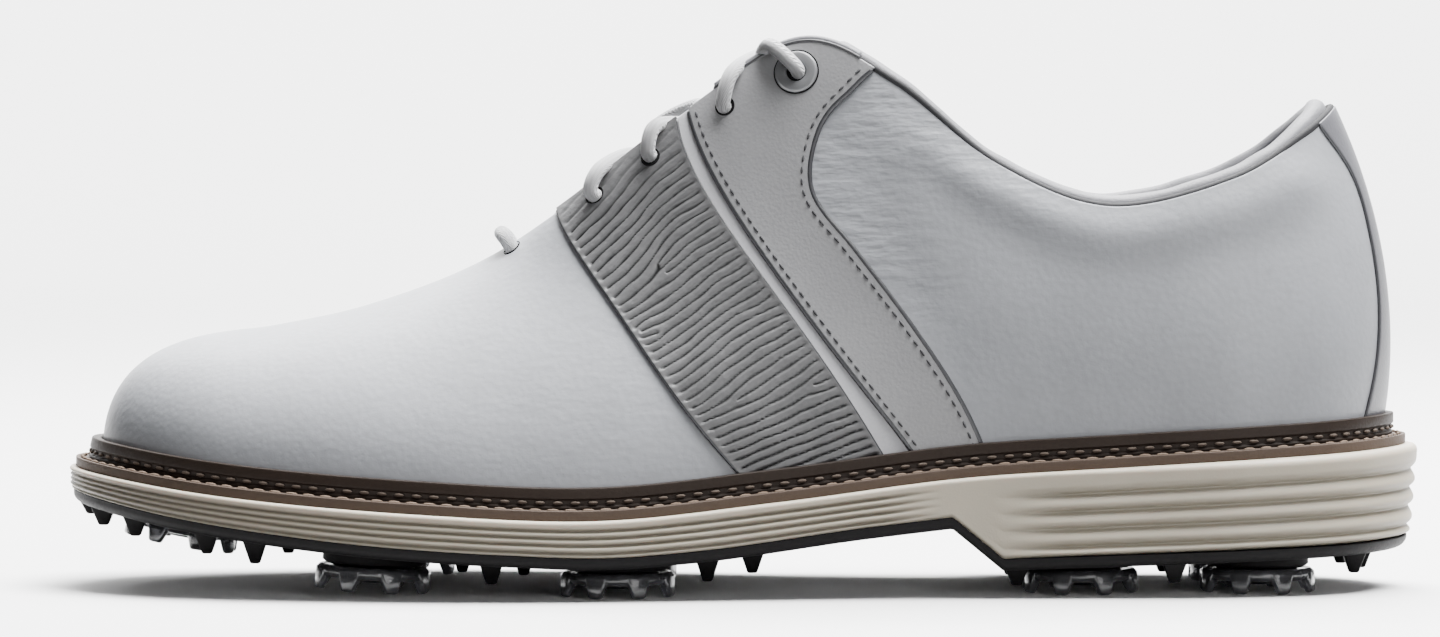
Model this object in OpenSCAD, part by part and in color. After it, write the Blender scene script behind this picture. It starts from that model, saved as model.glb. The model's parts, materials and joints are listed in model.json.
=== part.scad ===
// Left golf shoe in the classic saddle style, lateral side towards -Y, toe towards -X.
// Millimetres, +Z up, resting on the flat tips of its cleats at z = 0.

/* [Sole] */
// Thickness of the welt strip
welt_t = 2.3; // [1.8:0.1:3]
// How far the welt stands out from the foot line
welt_out = 6.1; // [5:0.1:7]
// Height of the storm welt that stands up against the upper
storm_h = 4.9; // [3:0.1:6]
// Thickness of the black outsole skin
outsole_t = 2.7; // [2:0.1:4]
// Thickness of the insole board
board_t = 2; // [1.5:0.1:3]
// Thickness of the removable footbed
footbed_t = 4.5; // [3:0.5:6]

/* [Upper] */
// Thickness of the outer leather
leather_t = 1.3; // [1:0.1:1.6]
// How far the overlaid straps stand above the base leather
overlay_t = 0.5; // [0.2:0.1:0.8]
// Thickness of backers, foam, toe puff and heel counter
middle_t = 0.7; // [0.5:0.05:0.8]
// Thickness of the lining
lining_t = 0.85; // [0.6:0.05:1]
// Thickness of the tongue
tongue_t = 4; // [3:0.5:5]

/* [Cleats] */
// Diameter over the claws of one cleat
cleat_d = 27; // [25:0.5:28]
// Height from the seat of a cleat to its claw tips
cleat_h = 5.7; // [5.2:0.1:6]
// Radius of the cleat's stem
stem_r = 4.5; // [4:0.05:4.5]
// Radius of the bore in a receptacle
bore_r = 4.55; // [4.55:0.05:4.6]
// Number of claws on a cleat
claw_count = 8; // [6:1:10]

/* [Lace] */
// Diameter of the round lace
lace_d = 3.4; // [2.5:0.1:3.6]
// Diameter of the punched lace holes
hole_d = 4; // [3.8:0.1:4.2]

/* [Hidden] */

// Stations round the last from the toe (first) to the heel (last). Each row holds
// foot line x, foot line y on the lateral and the medial side, rim x, half the gap
// between the two rims, rim z, then how the side bulges: out and up from the foot
// line, out and down from the rim.
stations = [
    [-146.5,   6.0,  6.0, -118.0,  0.0,  58.0, 0.5, 17, 20.0,  0],
    [-140.0, -14.0, 28.0, -115.0,  0.0,  58.4, 1.5, 17, 21.0,  0],
    [-118.0, -33.0, 40.0, -106.0,  0.0,  59.6, 2.5, 18, 23.0,  0],
    [ -80.0, -43.5, 45.0,  -86.0,  0.0,  64.0, 3.0, 19, 26.0,  0],
    [ -42.0, -45.0, 41.5,  -62.0,  0.0,  73.0, 3.0, 21, 26.0,  2],
    [   2.5, -39.0, 32.0,  -41.8,  7.5,  85.8, 3.0, 26, 18.0,  9],
    [  33.8, -34.5, 29.0,  -14.8, 12.0, 106.7, 3.0, 30, 12.0, 19],
    [  47.0, -33.0, 28.7,   12.5, 15.5, 123.5, 3.0, 30,  9.0, 24],
    [  57.0, -32.5, 29.0,   34.0, 21.5, 115.0, 3.0, 28,  7.0, 24],
    [  69.0, -32.5, 30.0,   57.0, 26.0,  96.5, 3.0, 24,  5.0, 19],
    [  84.0, -32.5, 30.5,   82.0, 28.0,  87.0, 3.0, 21,  4.0, 17],
    [ 112.0, -31.5, 30.5,  110.0, 25.0,  93.2, 3.0, 22,  5.0, 20],
    [ 134.0, -22.5, 22.5,  127.5, 15.0, 103.8, 3.5, 24,  8.0, 24],
    [ 145.0,   0.0,  0.0,  134.3,  0.0, 109.3, 5.0, 24, 11.5, 24]];
HEEL = len(stations) - 1;   // index of the heel station
THROAT = 4;                 // station where the throat opens
SADDLE = 5;                 // station where the saddle starts
STRIPE = 6;                 // station where the white stripe starts

// Side view of the midsole, [x, z]: its top edge, and its underside before the heel
sole_top = [[-154, 27.6], [-114, 22.6], [-72, 19.4], [-31, 18], [8, 21.8],
            [49, 26.8], [86, 29.2], [124, 31.4], [154, 33]];
sole_low = [[-154, 22.6], [-130, 18.3], [-93, 13.4], [-50, 10.4], [-31, 9.8],
            [-12, 11], [27, 16], [46.4, 18.2]];
heel_front = [57.7, 8.9];   // lower corner of the heel breast
heel_back = [154, 12.1];    // underside at the back of the heel

// The seam between facing and quarter, and the front edge of the heel strip: [v, station]
quarter_seam = [[0, 7.75], [0.3, 6.95], [0.5, 6.7], [0.65, 6.65], [0.76, 6.95], [0.88, 7.45], [1, 7.8]];
strip_seam = [[0, 12.3], [0.3, 12.54], [0.6, 12.62], [0.8, 12.58], [1, 12.2]];

// Cleats: [x, y, z of the claw tips, lean about Y in degrees, outsole above the seat]
cleats = [[-129, 5, 9.3, 11], [-83, -29, 1.2, 3.5], [-80, 30, 1.2, 3.5],
          [-28, -31, 0, 0], [-28, 27, 0, 0], [76, -19, 0, 0], [76, 18, 0, 0],
          [116, -17, 0, 0], [116, 17, 0, 0]];
seat_gap = 0.3;             // between a cleat and the boss it sits under
receptacle_r = 9;
receptacle_h = 6.5;
stem_len = 4.2;

// Small rubber lugs on the outsole: [x, y, height]
lugs = [[-149, 4, 4], [-145, -9, 5], [-139, 22, 4.5], [-137, -17, 5.5], [-120, -28, 6],
        [-109, -31, 6.5], [-112, 29, 6], [-104, 4, 6], [-64, 0, 6.5],
        [-56, -38, 6], [-56, 36, 6], [-50, 0, 6.5],
        [-8, -32, 6.5], [-8, 26, 6.5], [2, -30, 6], [2, 24, 6],
        [61, -32, 5], [61, 31, 5], [61, 0, 5], [96, -34, 5.5], [96, 33, 5.5], [96, 0, 5.5],
        [138, -15, 6], [138, 15, 6], [141, 0, 6]];

// Lace holes from the bottom row up: [station, v]
holes = [[4.45, 0.95], [5.3, 0.93], [5.75, 0.925], [6.36, 0.925], [6.95, 0.915]];

// Half of the lace from the middle of the bottom bar to its tip, [x, y, z, lift]. The
// other half is its mirror image, with the lift turned over where the halves cross.
lace_half = [
    [-55, 0, 80.5, 0], [-54, 5, 79.5, 0], [-51, 5.5, 76, 0], [-46.5, 4.5, 77.5, 0],
    [-40.5, 0, 83, 1.9], [-33.5, -6.5, 85.5, 0], [-32, -11, 88, 0], [-34.5, -14, 90.5, 0],
    [-32, -11.5, 95.5, 0], [-25.5, 0, 96.5, 1.9], [-22, 7, 95.5, 0], [-20, 12, 97, 0],
    [-21.5, 15.5, 99.5, 0], [-19.5, 13, 105, 0], [-11, 0, 107.5, 1.9], [-5.5, -9, 108.5, 0],
    [-3.5, -14, 108.5, 0], [-4.5, -17.5, 110.5, 0], [-2, -15.5, 117.5, 0], [6, 0, 119.5, 1.9],
    [10, 10.5, 119, 0], [12.5, 16, 116, 0], [11.5, 19.5, 118.5, 0], [6, 17, 123, 0],
    [4, 9, 119, 0], [4, 11, 112.5, 0], [5, 13.5, 104, 0], [6.5, 15.5, 96, 0]
];

gap = 0.25;                 // left between neighbouring layers
seat = 0.2;                 // left between the upper and the welt it stands on
eps = 0.01;

// ---------- curves ----------
// Point on the cubic between two values with their slopes
function hermite(a, b, ma, mb, t) =
    let (t2 = t * t, t3 = t2 * t)
    (2 * t3 - 3 * t2 + 1) * a + (t3 - 2 * t2 + t) * ma + (3 * t2 - 2 * t3) * b + (t3 - t2) * mb;
// Index of the stretch of table p that holds x
function stretch(p, x, i = 0) = (i >= len(p) - 2 || x <= p[i + 1][0]) ? i : stretch(p, x, i + 1);
function chord_slope(p, i) = (p[i + 1][1] - p[i][1]) / (p[i + 1][0] - p[i][0]);
function table_slope(p, i) =
    i == 0 ? chord_slope(p, 0)
    : i == len(p) - 1 ? chord_slope(p, i - 1)
    : let (h0 = p[i][0] - p[i - 1][0], h1 = p[i + 1][0] - p[i][0])
      (chord_slope(p, i) * h0 + chord_slope(p, i - 1) * h1) / (h0 + h1);
// Smooth curve through a table of [x, value]
function smooth(p, x) =
    let (xc = min(max(x, p[0][0]), p[len(p) - 1][0]), i = stretch(p, xc), h = p[i + 1][0] - p[i][0])
    hermite(p[i][1], p[i + 1][1], table_slope(p, i) * h, table_slope(p, i + 1) * h, (xc - p[i][0]) / h);

function z_top(x) = smooth(sole_top, x);
function z_welt(x) = z_top(x) + welt_t;
// Height at x of the straight line from a to b
function line(a, b, x) = a[1] + (b[1] - a[1]) * (x - a[0]) / (b[0] - a[0]);
breast = sole_low[len(sole_low) - 1];   // upper corner of the heel breast
function z_low(x) =
    x <= breast[0] ? smooth(sole_low, x)
    : x < heel_front[0] ? line(breast, heel_front, x) : line(heel_front, heel_back, x);
// The middle line bends over to the toe's own y
function spine_y(x) = stations[0][1] * pow(max(-x, 0) / -stations[0][0], 2);
function unit(a) = a / max(norm(a), 1e-9);

// ---------- the last ----------
// A column w runs from -HEEL to HEEL: lateral below zero, toe at 0, medial above,
// and the heel at both ends. The row v runs from 0 on the welt to 1 at the rim.
function wrap(w) = w > HEEL ? w - 2 * HEEL : w < -HEEL ? w + 2 * HEEL : w;
function foot(j) = let (k = wrap(j), s = stations[abs(k)]) [s[0], k > 0 ? s[2] : s[1], z_welt(s[0]) + seat];
function rim(j) =
    let (k = wrap(j), s = stations[abs(k)]) [s[3], spine_y(s[3]) + sign(k) * s[4], s[5]];
// Outward direction of the foot line, in plan
function outward(j) = let (d = foot(j + 1) - foot(j - 1)) unit([-d[1], d[0], 0]);
function dome(j) =
    let (k = abs(wrap(j)), after = stations[min(k + 1, HEEL)], before = stations[max(k - 1, 0)])
    k > THROAT ? 0 : (after[5] - before[5]) / (after[3] - before[3]);
function low_pull(j) = let (s = stations[abs(wrap(j))]) foot(j) + outward(j) * s[6] + [0, 0, s[7]];
function high_pull(j) =
    let (s = stations[abs(wrap(j))], o = outward(j) * s[8]) rim(j) + o + [0, 0, o[0] * dome(j) - s[9]];
columns = [for (j = [-HEEL:HEEL]) [foot(j), low_pull(j), high_pull(j), rim(j)]];
function column(j) = columns[wrap(j) + HEEL];
// One of the four control curves at any w
function control(k, w) =
    let (i = floor(w), t = w - i,
         a = column(i - 1)[k], b = column(i)[k], c = column(i + 1)[k], d = column(i + 2)[k])
    hermite(b, c, (c - a) / 2, (d - b) / 2, t);
function spine(u) = let (p = control(3, -u)) [p[0], spine_y(p[0]), p[2]];
function on_spine(w, v) = v > 0.9999 && abs(w) <= THROAT;
// Point of the outer surface
function surf(w, v) =
    on_spine(w, v) ? spine(abs(w))
    : let (u = 1 - v)
      u * u * u * control(0, w) + 3 * u * u * v * control(1, w)
      + 3 * u * v * v * control(2, w) + v * v * v * control(3, w);
spine_step = 0.3;           // stations either side that give the spine's direction
surf_step = 0.02;           // stations and rows either side that give the normal
// Outward normal of the outer surface
function normal(w, v) =
    on_spine(w, v)
    ? let (a = spine(max(abs(w) - spine_step, 0)), b = spine(min(abs(w) + spine_step, THROAT)))
      unit([a[2] - b[2], 0, b[0] - a[0]])
    : let (h = surf_step, va = max(v - h, 0), vb = min(v + h, v > 0.9 && abs(w) <= THROAT ? 0.9998 : 1),
           dw = surf(w + h, v) - surf(w - h, v), dv = surf(w, vb) - surf(w, va))
      unit(cross(dv, dw));
function at(w, v, out) = surf(w, v) + normal(w, v) * out;
// Row v whose point stands a given height above the welt
function v_at_rise(w, rise, a = 0, b = 0.5, n = 12) =
    n == 0 ? (a + b) / 2
    : let (m = (a + b) / 2)
      surf(w, m)[2] - surf(w, 0)[2] < rise
      ? v_at_rise(w, rise, m, b, n - 1)
      : v_at_rise(w, rise, a, m, n - 1);

// ---------- solids built from grids ----------
function pick(list) = [for (part = list) each part];
function spread(a, b, n) = [for (i = [0:n]) a + (b - a) * i / n];
function reversed(list) = [for (i = [len(list) - 1:-1:0]) list[i]];
// Two triangles for each cell of a grid with n points in a row
function cells(m, n, base, flip) =
    pick([for (i = [0:m - 2], j = [0:n - 2])
        let (a = base + i * n + j, b = a + 1, c = a + n + 1, d = a + n)
        flip ? [[a, b, c], [a, c, d]] : [[a, c, b], [a, d, c]]]);
// Wall between the outer and the inner sheet along a chain of point numbers
function wall(chain, shift) =
    pick([for (i = [0:len(chain) - 2])
        let (a = chain[i], b = chain[i + 1]) [[a, b, b + shift], [a, b + shift, a + shift]]]);
// A panel: ws(v) gives its columns at row v, vs its rows, out and inn its two faces
module panel(ws, vs, out, inn) {
    m = len(ws(0));
    n = len(vs);
    count = m * n;
    grid = [for (i = [0:m - 1], v = vs) [ws(v)[i], v]];
    points = concat([for (g = grid) at(g[0], g[1], out)], [for (g = grid) at(g[0], g[1], inn)]);
    top = [for (i = [0:m - 1]) i * n + n - 1];
    closed = [for (i = [0:m - 2])
        on_spine(grid[top[i]][0], vs[n - 1]) && on_spine(grid[top[i + 1]][0], vs[n - 1])];
    top_walls = pick([for (i = [0:m - 2]) if (!closed[i]) wall([top[i + 1], top[i]], count)]);
    polyhedron(points, concat(
        cells(m, n, 0, true), cells(m, n, count, false),
        wall([for (i = [0:m - 1]) i * n], count), top_walls,
        wall([for (j = [n - 1:-1:0]) j], count),
        wall([for (j = [0:n - 1]) (m - 1) * n + j], count)));
}
// A closed ring of sections: sections[i] is a loop of points
module loft(sections, closed = false) {
    m = len(sections);
    n = len(sections[0]);
    last = closed ? m - 1 : m - 2;
    sides = pick([for (i = [0:last], j = [0:n - 1])
        let (a = i * n + j, b = i * n + (j + 1) % n,
             c = ((i + 1) % m) * n + (j + 1) % n, d = ((i + 1) % m) * n + j)
        [[a, c, b], [a, d, c]]]);
    far = (m - 1) * n;
    ends = closed ? [] : concat([for (j = [1:n - 2]) [0, j, j + 1]],
                                [for (j = [1:n - 2]) [far, far + j + 1, far + j]]);
    polyhedron(pick(sections), concat(sides, ends));
}
// Smooth points through a list, k to each stretch
function path(p, k) = concat([for (i = [0:len(p) - 2], s = [0:k - 1])
    let (a = p[max(i - 1, 0)], b = p[i], c = p[i + 1], d = p[min(i + 2, len(p) - 1)])
    hermite(b, c, (c - a) / 2, (d - b) / 2, s / k)], [p[len(p) - 1]]);
// Side direction of a tube carried along its path without twist
function carried(dirs, i = 0, side = [0, 0, 0], acc = []) =
    i == len(dirs) ? acc
    : let (start = i == 0 ? unit(cross(dirs[0], [0.3, 0.2, 1])) : unit(side - dirs[i] * (side * dirs[i])))
      carried(dirs, i + 1, start, concat(acc, [start]));
module tube(p, r, sides) {
    last = len(p) - 1;
    dirs = [for (i = [0:last]) unit(p[min(i + 1, last)] - p[max(i - 1, 0)])];
    across = carried(dirs);
    loft([for (i = [0:last]) [for (k = [0:sides - 1])
        let (turn = -360 * k / sides)
        p[i] + r * (across[i] * cos(turn) + cross(dirs[i], across[i]) * sin(turn))]]);
}
// Turns children's +Z onto direction n
module along(n) { rotate([0, acos(n[2]), atan2(n[1], n[0])]) children(); }

// ---------- plan and side outlines of the sole ----------
midsole_mid = 8.25;         // how far the midsole stands out from the foot line, half way along
midsole_flare = 0.75;       // and how much further at the heel than there
very_tall = 80;             // cutting heights and widths that clear the sole
very_wide = 130;
function midsole_out(x) = midsole_mid + midsole_flare * x / heel_back[0];
function outline(out, step) = [for (w = [-HEEL:step:HEEL - eps])
    let (p = control(0, w), d = control(0, w + eps) - control(0, w - eps), o = unit([-d[1], d[0]]),
         shift = out == undef ? midsole_out(p[0]) : out)
    [p[0], p[1]] + o * shift];
xs = concat([for (x = [-156:12:40]) x], [breast[0], heel_front[0]], [for (x = [66:12:150]) x], [156]);
// Slab between two side-view curves
module slab(low, high) {
    rotate([90, 0, 0]) linear_extrude(very_wide, center = true)
        polygon(concat([for (x = xs) [x, low(x)]], [for (i = [len(xs) - 1:-1:0]) [xs[i], high(xs[i])]]));
}
module plate(out, low, high, step = 0.25) {
    intersection() {
        linear_extrude(very_tall) polygon(outline(out, step));
        slab(low, high);
    }
}
// Places children in the frame of cleat c: z = 0 at its claw tips, leaning with the sole
module at_cleat(c) { translate([c[0], c[1], c[2]]) rotate([0, c[3], 0]) children(); }

// ---------- sole ----------
// How far each layer stands out from the foot line, or in from it
outsole_out = 7;
cork_in = 5;
welt_in = 4.7;
board_in = 4.4;
footbed_in = 4.6;
boss_r = 11.5;              // rubber boss over each cleat
lug_r = 4.2;
lug_tip_r = 1.4;
core_r = 9.5;               // disc of a cleat, inside its ring of claws
core_t = 2.2;
claw_t = 3;
shank_from = [-30, -8, 0];
shank_size = [120, 16, 60];
shank_fit = 0.3;
module outsole() {
    color("#1c1b1b") difference() {
        union() {
            plate(outsole_out, function(x) z_low(x) - outsole_t, function(x) z_low(x));
            for (c = cleats) at_cleat(c) translate([0, 0, cleat_h + seat_gap])
                cylinder(r = boss_r, h = max(z_low(c[0]) - c[2] - cleat_h - seat_gap - 0.6, 0.8), $fn = 48);
            for (l = lugs) translate([l[0], l[1], z_low(l[0]) - 1])
                rotate([180, 0, 0]) cylinder(r1 = lug_r, r2 = lug_tip_r, h = l[2] + 0.5, $fn = 24);
        }
        for (c = cleats) at_cleat(c) translate([0, 0, cleat_h]) cylinder(r = receptacle_r, h = 12, $fn = 48);
    }
}
module cleat_receptacles() {
    color("#2a2a2c") for (c = cleats) at_cleat(c) translate([0, 0, cleat_h + seat_gap]) difference() {
        cylinder(r = receptacle_r - 0.05, h = receptacle_h, $fn = 48);
        translate([0, 0, -1]) cylinder(r = bore_r, h = stem_len + 1.5, $fn = 48);
    }
}
module cleat_core(c) {
    color("#3d3d40") at_cleat(c) {
        translate([0, 0, cleat_h - core_t]) cylinder(r = core_r, h = core_t, $fn = 48);
        translate([0, 0, cleat_h - 0.1]) cylinder(r = stem_r, h = stem_len + 0.1, $fn = 48);
        translate([0, 0, 2]) cylinder(r1 = 4, r2 = 6, h = 1.6, $fn = 36);
    }
}
module cleat_claws(c) {
    outer = cleat_d / 2;
    inner = core_r + 0.3;
    color("#9a9a9c") at_cleat(c) {
        difference() {
            translate([0, 0, cleat_h - 2.1]) cylinder(r = outer - 1.5, h = 2, $fn = 48);
            translate([0, 0, cleat_h - 3]) cylinder(r = core_r + 0.05, h = 4, $fn = 48);
        }
        for (i = [0:claw_count - 1]) rotate([0, 0, 360 * (i + 0.5) / claw_count])
            translate([0, claw_t / 2, 0]) rotate([90, 0, 0]) linear_extrude(claw_t)
                polygon([[inner, cleat_h - 0.6], [outer - 1, cleat_h - 0.6], [outer, 1.4], [outer - 0.3, 0],
                         [outer - 1.6, 0], [inner, cleat_h - 2]]);
    }
}
module midsole() {
    color("#d0c6bc") difference() {
        plate(undef, function(x) z_low(x), function(x) z_top(x));
        for (c = cleats) at_cleat(c) translate([0, 0, cleat_h])
            cylinder(r = receptacle_r, h = receptacle_h + 0.6, $fn = 48);
    }
}
module shank_block(grow) {
    translate(shank_from - [grow, grow, 0]) cube(shank_size + [2 * grow, 2 * grow, 0]);
}
module shank() {
    color("#8d9196") intersection() {
        slab(function(x) z_top(x) + 0.5, function(x) z_welt(x) - 0.5);
        shank_block(0);
    }
}
module cork_filler() {
    color("#a5794e") difference() {
        plate(-cork_in, function(x) z_top(x), function(x) z_welt(x));
        shank_block(shank_fit);
    }
}
module welt() {
    color("#5d5049") difference() {
        plate(welt_out, function(x) z_top(x), function(x) z_welt(x));
        linear_extrude(very_tall) polygon(outline(-welt_in, 0.25));
    }
}
module insole_board() {
    color("#b9a489") plate(-board_in, function(x) z_welt(x), function(x) z_welt(x) + board_t);
}
module footbed() {
    color("#55565a") plate(-footbed_in, function(x) z_welt(x) + board_t + 0.05,
                           function(x) z_welt(x) + board_t + footbed_t);
}
storm_clear = 1.2;          // from the upper to the storm welt
storm_foot = 2.7;           // and to its outer face at the bottom
storm_lip = 2.3;            // and at the top
flat = [[1, 0, 0], [0, 1, 0], [0, 0, 0]];   // takes the height out of a direction
module storm_welt() {
    color("#3c342e") loft([for (w = [-HEEL:0.5:HEEL - eps])
        let (low = surf(w, 0), v = v_at_rise(w, storm_h), high = surf(w, v), o = normal(w, v / 2) * flat)
        [low + o * storm_clear, low + o * storm_foot, high + o * storm_lip, high + o * storm_clear]],
        closed = true);
}
stitch = [3, 1, 0.6];
stitch_out = 4.6;           // from the foot line
stitch_rise = 0.5;          // from the welt's top to a stitch's underside
module welt_stitching() {
    color("#8b7d72") for (w = [-HEEL:0.2:HEEL - eps])
        let (d = unit(control(0, w + 0.05) - control(0, w - 0.05)),
             p = control(0, w) + [-d[1], d[0], 0] * stitch_out)
        translate([p[0], p[1], z_welt(p[0]) + stitch_rise]) rotate([0, 0, atan2(d[1], d[0])])
            translate([-stitch[0] / 2, -stitch[1] / 2, 0]) cube(stitch);
}

// ---------- upper ----------
function mirrored(side, ws) = side < 0 ? -reversed(ws) : ws;
function between(a, b, n) = function(v) spread(a(v), b(v), n);
function beside(edge, shift) = function(v) edge(v) + shift;
module side_panel(side, ws, vs, out, inn) { panel(function(v) mirrored(side, ws(v)), vs, out, inn); }
function hole_axis(side, h) = normal(side * h[0], h[1]);
module punch(side, picked) {
    for (i = picked) let (h = holes[i], p = surf(side * h[0], h[1]), n = hole_axis(side, h))
        translate(p) along(n) translate([0, 0, -5]) cylinder(d = hole_d, h = 10, $fn = 24);
}
seam_gap = 0.015;           // stations left open at a butted seam
// A seam that runs straight down the side leaves its station by part of a bow. The bow is 0
// at the welt and at the rim, and fullest where v to the power skew is a half.
bow_power = 1.5;
bow = function(v, skew) pow(max(0, sin(180 * pow(v, skew))), bow_power);
saddle_bow = 0.24;
saddle_skew = 0.66;
stripe_bow = 0.25;
facing_bow = 0.43;
stripe_skew = 0.545;
stripe_wide = 0.42;         // stations across the stripe at the welt
stripe_taper = 0.32;        // and how many fewer at the rim
saddle_front = function(v) SADDLE - saddle_bow * bow(v, saddle_skew);
stripe_start = function(v) STRIPE - stripe_bow * bow(v, stripe_skew);
stripe_end = function(v) STRIPE + stripe_wide - stripe_taper * v - facing_bow * bow(v, stripe_skew);
quarter_start = function(v) smooth(quarter_seam, v);
strip_start = function(v) smooth(strip_seam, v);
constant = function(w) function(v) w;
vamp_plain = 4.5;           // station up to which the vamp's columns keep their places
rows_fine = spread(0, 1, 9);
rows_under = concat([0.02], spread(1 / 9, 8 / 9, 7));   // on the rows of the panels above
rows_behind = concat([0.02], spread(1 / 9, 7 / 9, 6), [0.84]);
middle_out = -leather_t - gap;          // outer face of backers, foam, puff and counter
middle_in = middle_out - middle_t;
stripe_rise = 0.2;
strip_rise = 0.3;

module vamp() {
    color("#cfd0d4") difference() {
        panel(function(v) let (front = saddle_front(v), half = (vamp_plain + front) / 2)
                  concat([-front, -half], spread(-vamp_plain, vamp_plain, 36), [half, front]),
              rows_fine, 0, -leather_t);
        for (side = [-1, 1]) punch(side, [0]);
    }
}
module vamp_backer() {
    color("#e6e2d8") for (side = [-1, 1])
        side_panel(side, between(constant(1.75), constant(THROAT), 9), rows_under, middle_out, middle_in);
}
module toe_puff() {
    color("#cdbb96") panel(constant(spread(-1.5, 1.5, 12)), rows_under, middle_out, middle_in);
}
module saddle(side) {
    color("#6b6b6d") difference() {
        side_panel(side, between(beside(saddle_front, seam_gap), beside(stripe_start, -seam_gap), 5),
                   rows_fine, overlay_t, -leather_t);
        punch(side, [1, 2]);
    }
}
module stripe(side) {
    ws = between(beside(stripe_start, seam_gap), beside(stripe_end, -seam_gap), 1);
    color("#dcdcde") side_panel(side, ws, rows_fine, stripe_rise, -leather_t);
}
module facing(side) {
    color("#868689") difference() {
        side_panel(side, between(beside(stripe_end, seam_gap), beside(quarter_start, -seam_gap), 4),
                   spread(0, 1, 12), overlay_t, -leather_t);
        punch(side, [3, 4]);
    }
}
thread_r = 0.35;
thread_rise = 0.42;         // from the facing's face to the middle of its thread
module facing_thread() {
    color("#4c4c50") for (side = [-1, 1], row = [beside(stripe_end, 0.1), beside(quarter_start, -0.12)])
        tube([for (v = spread(0.06, 0.96, 18)) at(side * row(v), v, overlay_t + thread_rise)], thread_r, 6);
}
module quarter(side) {
    ws = between(beside(quarter_start, seam_gap), beside(strip_start, -seam_gap), 16);
    color("#c9cace") side_panel(side, ws, rows_fine, 0, -leather_t);
}
module quarter_foam(side) {
    ws = between(constant(8), constant(11), 12);
    color("#e9dfc4") side_panel(side, ws, rows_behind, middle_out, middle_in);
}
module heel_counter() {
    color("#c3b393") panel(constant(spread(11.25, 2 * HEEL - 11.25, 14)), rows_behind, middle_out, middle_in);
}
module heel_strip() {
    start = beside(strip_start, seam_gap);
    ws = function(v) spread(start(v), 2 * HEEL - start(v), 6);
    color("#88878c") panel(ws, rows_fine, strip_rise, -leather_t);
}
// Lining: up to the rim along the throat, and to the foot of the collar roll behind it
lining_out = middle_in - gap;
lining_seam = 7.25;
module front_lining() {
    end = lining_seam - seam_gap;
    color("#c9c9cb") panel(constant(concat([-end], spread(-7, 7, 56), [end])), rows_fine,
                           lining_out, lining_out - lining_t);
}
module heel_lining() {
    color("#b9b9bc") panel(constant(spread(lining_seam, 2 * HEEL - lining_seam, 46)),
                           concat(spread(0, 7 / 9, 7), [0.84]), lining_out, lining_out - lining_t);
}
// Section of the collar roll: [row v, depth under the outer surface, rise above the rim]
roll_section = [[0.88, 1.5, 0], [1, 1.5, 0], [1, 1.7, 1.9], [1, 3, 3.1], [1, 4.8, 3.1], [1, 6.4, 1.6],
                [0.98, 6.8, 0], [0.93, 5.6, 0], [0.88, 3.2, 0]];
collar_start = 7.3;         // station
module collar_roll() {
    color("#a0a0a3") loft([for (w = spread(collar_start, 2 * HEEL - collar_start, 40))
        let (up = unit(surf(w, 1) - surf(w, 0.96)))
        [for (q = reversed(roll_section)) at(w, q[0], -q[1]) + up * q[2]]]);
}
// Tongue: a padded sheet under the throat, clear of the lace strands that pass over it
tongue_depth = 9.2;
tongue_end = 7.2;           // station
tongue_rows = [0.72, 0.8, 0.88, 0.95];
tongue_crown = 2;           // how much its middle rises by the top end
// One face of the tongue at station w, from its lateral edge to its medial one
function tongue_face(w, depth) =
    let (k = (w - THROAT) / (tongue_end - THROAT),
         mid = (surf(-w, 1) + surf(w, 1)) / 2, n = unit(normal(-w, 1) + normal(w, 1)))
    concat([for (v = tongue_rows) at(-w, v, -depth)], [mid - n * (depth - tongue_crown * k)],
           [for (v = reversed(tongue_rows)) at(w, v, -depth)]);
module tongue() {
    color("#b4b4b8") loft([for (w = spread(THROAT + 0.15, tongue_end, 12))
        concat(tongue_face(w, tongue_depth), reversed(tongue_face(w, tongue_depth + tongue_t)))]);
}

// ---------- lacing ----------
module ring_eyelets() {
    color("#a6a6a9") for (side = [-1, 1])
        let (h = holes[4], n = hole_axis(side, h), p = at(side * h[0], h[1], overlay_t + 0.1))
        translate(p) along(n)
            rotate_extrude($fn = 48) polygon([[2.1, 0], [5.1, 0], [4.7, 0.5], [3.2, 0.9], [2.3, 0.6]]);
}
function half_lace(side) = [for (q = lace_half) [q[0], side * q[1], q[2] + side * q[3]]];
// Both halves from tip to tip, with the middle of the bottom bar once
lace_route = concat([for (i = [len(lace_half) - 1:-1:1]) half_lace(1)[i]], half_lace(-1));
module lace() { color("#c0c0c0") tube(path(lace_route, 2), lace_d / 2, 8); }
aglet_d = 2.6;
aglet_len = 12;
module aglets() {
    color("#d8d8d8") for (side = [-1, 1])
        let (p = half_lace(side), a = p[len(p) - 1], n = unit(a - p[len(p) - 2]))
        translate(a + n * 0.05) along(n) cylinder(d = aglet_d, h = aglet_len, $fn = 24);
}

outsole();
cleat_receptacles();
for (i = [0:len(cleats) - 1]) {
    cleat_core(cleats[i]);
    cleat_claws(cleats[i]);
}
midsole();
shank();
cork_filler();
welt();
storm_welt();
welt_stitching();
insole_board();
footbed();
vamp();
vamp_backer();
toe_puff();
saddle(-1);  // saddle_lateral
saddle(1);  // saddle_medial
stripe(-1);  // stripe_lateral
stripe(1);  // stripe_medial
facing(-1);  // facing_lateral
facing(1);  // facing_medial
facing_thread();
quarter(-1);  // quarter_lateral
quarter(1);  // quarter_medial
quarter_foam(-1);  // quarter_foam_lateral
quarter_foam(1);  // quarter_foam_medial
heel_counter();
heel_strip();
collar_roll();
front_lining();
heel_lining();
tongue();
ring_eyelets();
lace();
aglets();
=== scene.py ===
"""Looks of a left saddle golf shoe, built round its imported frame.

Lengths are in metres in the frame's own axes: the toe points along -X, the outer
(lateral) side faces -Y, and the cleats stand on z = 0.
"""

from __future__ import annotations

import json
import logging
import math
from dataclasses import dataclass, field
from enum import Enum
from typing import Callable, Sequence

import bmesh
import bpy
import numpy as np
from mathutils import Matrix, Vector


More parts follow.
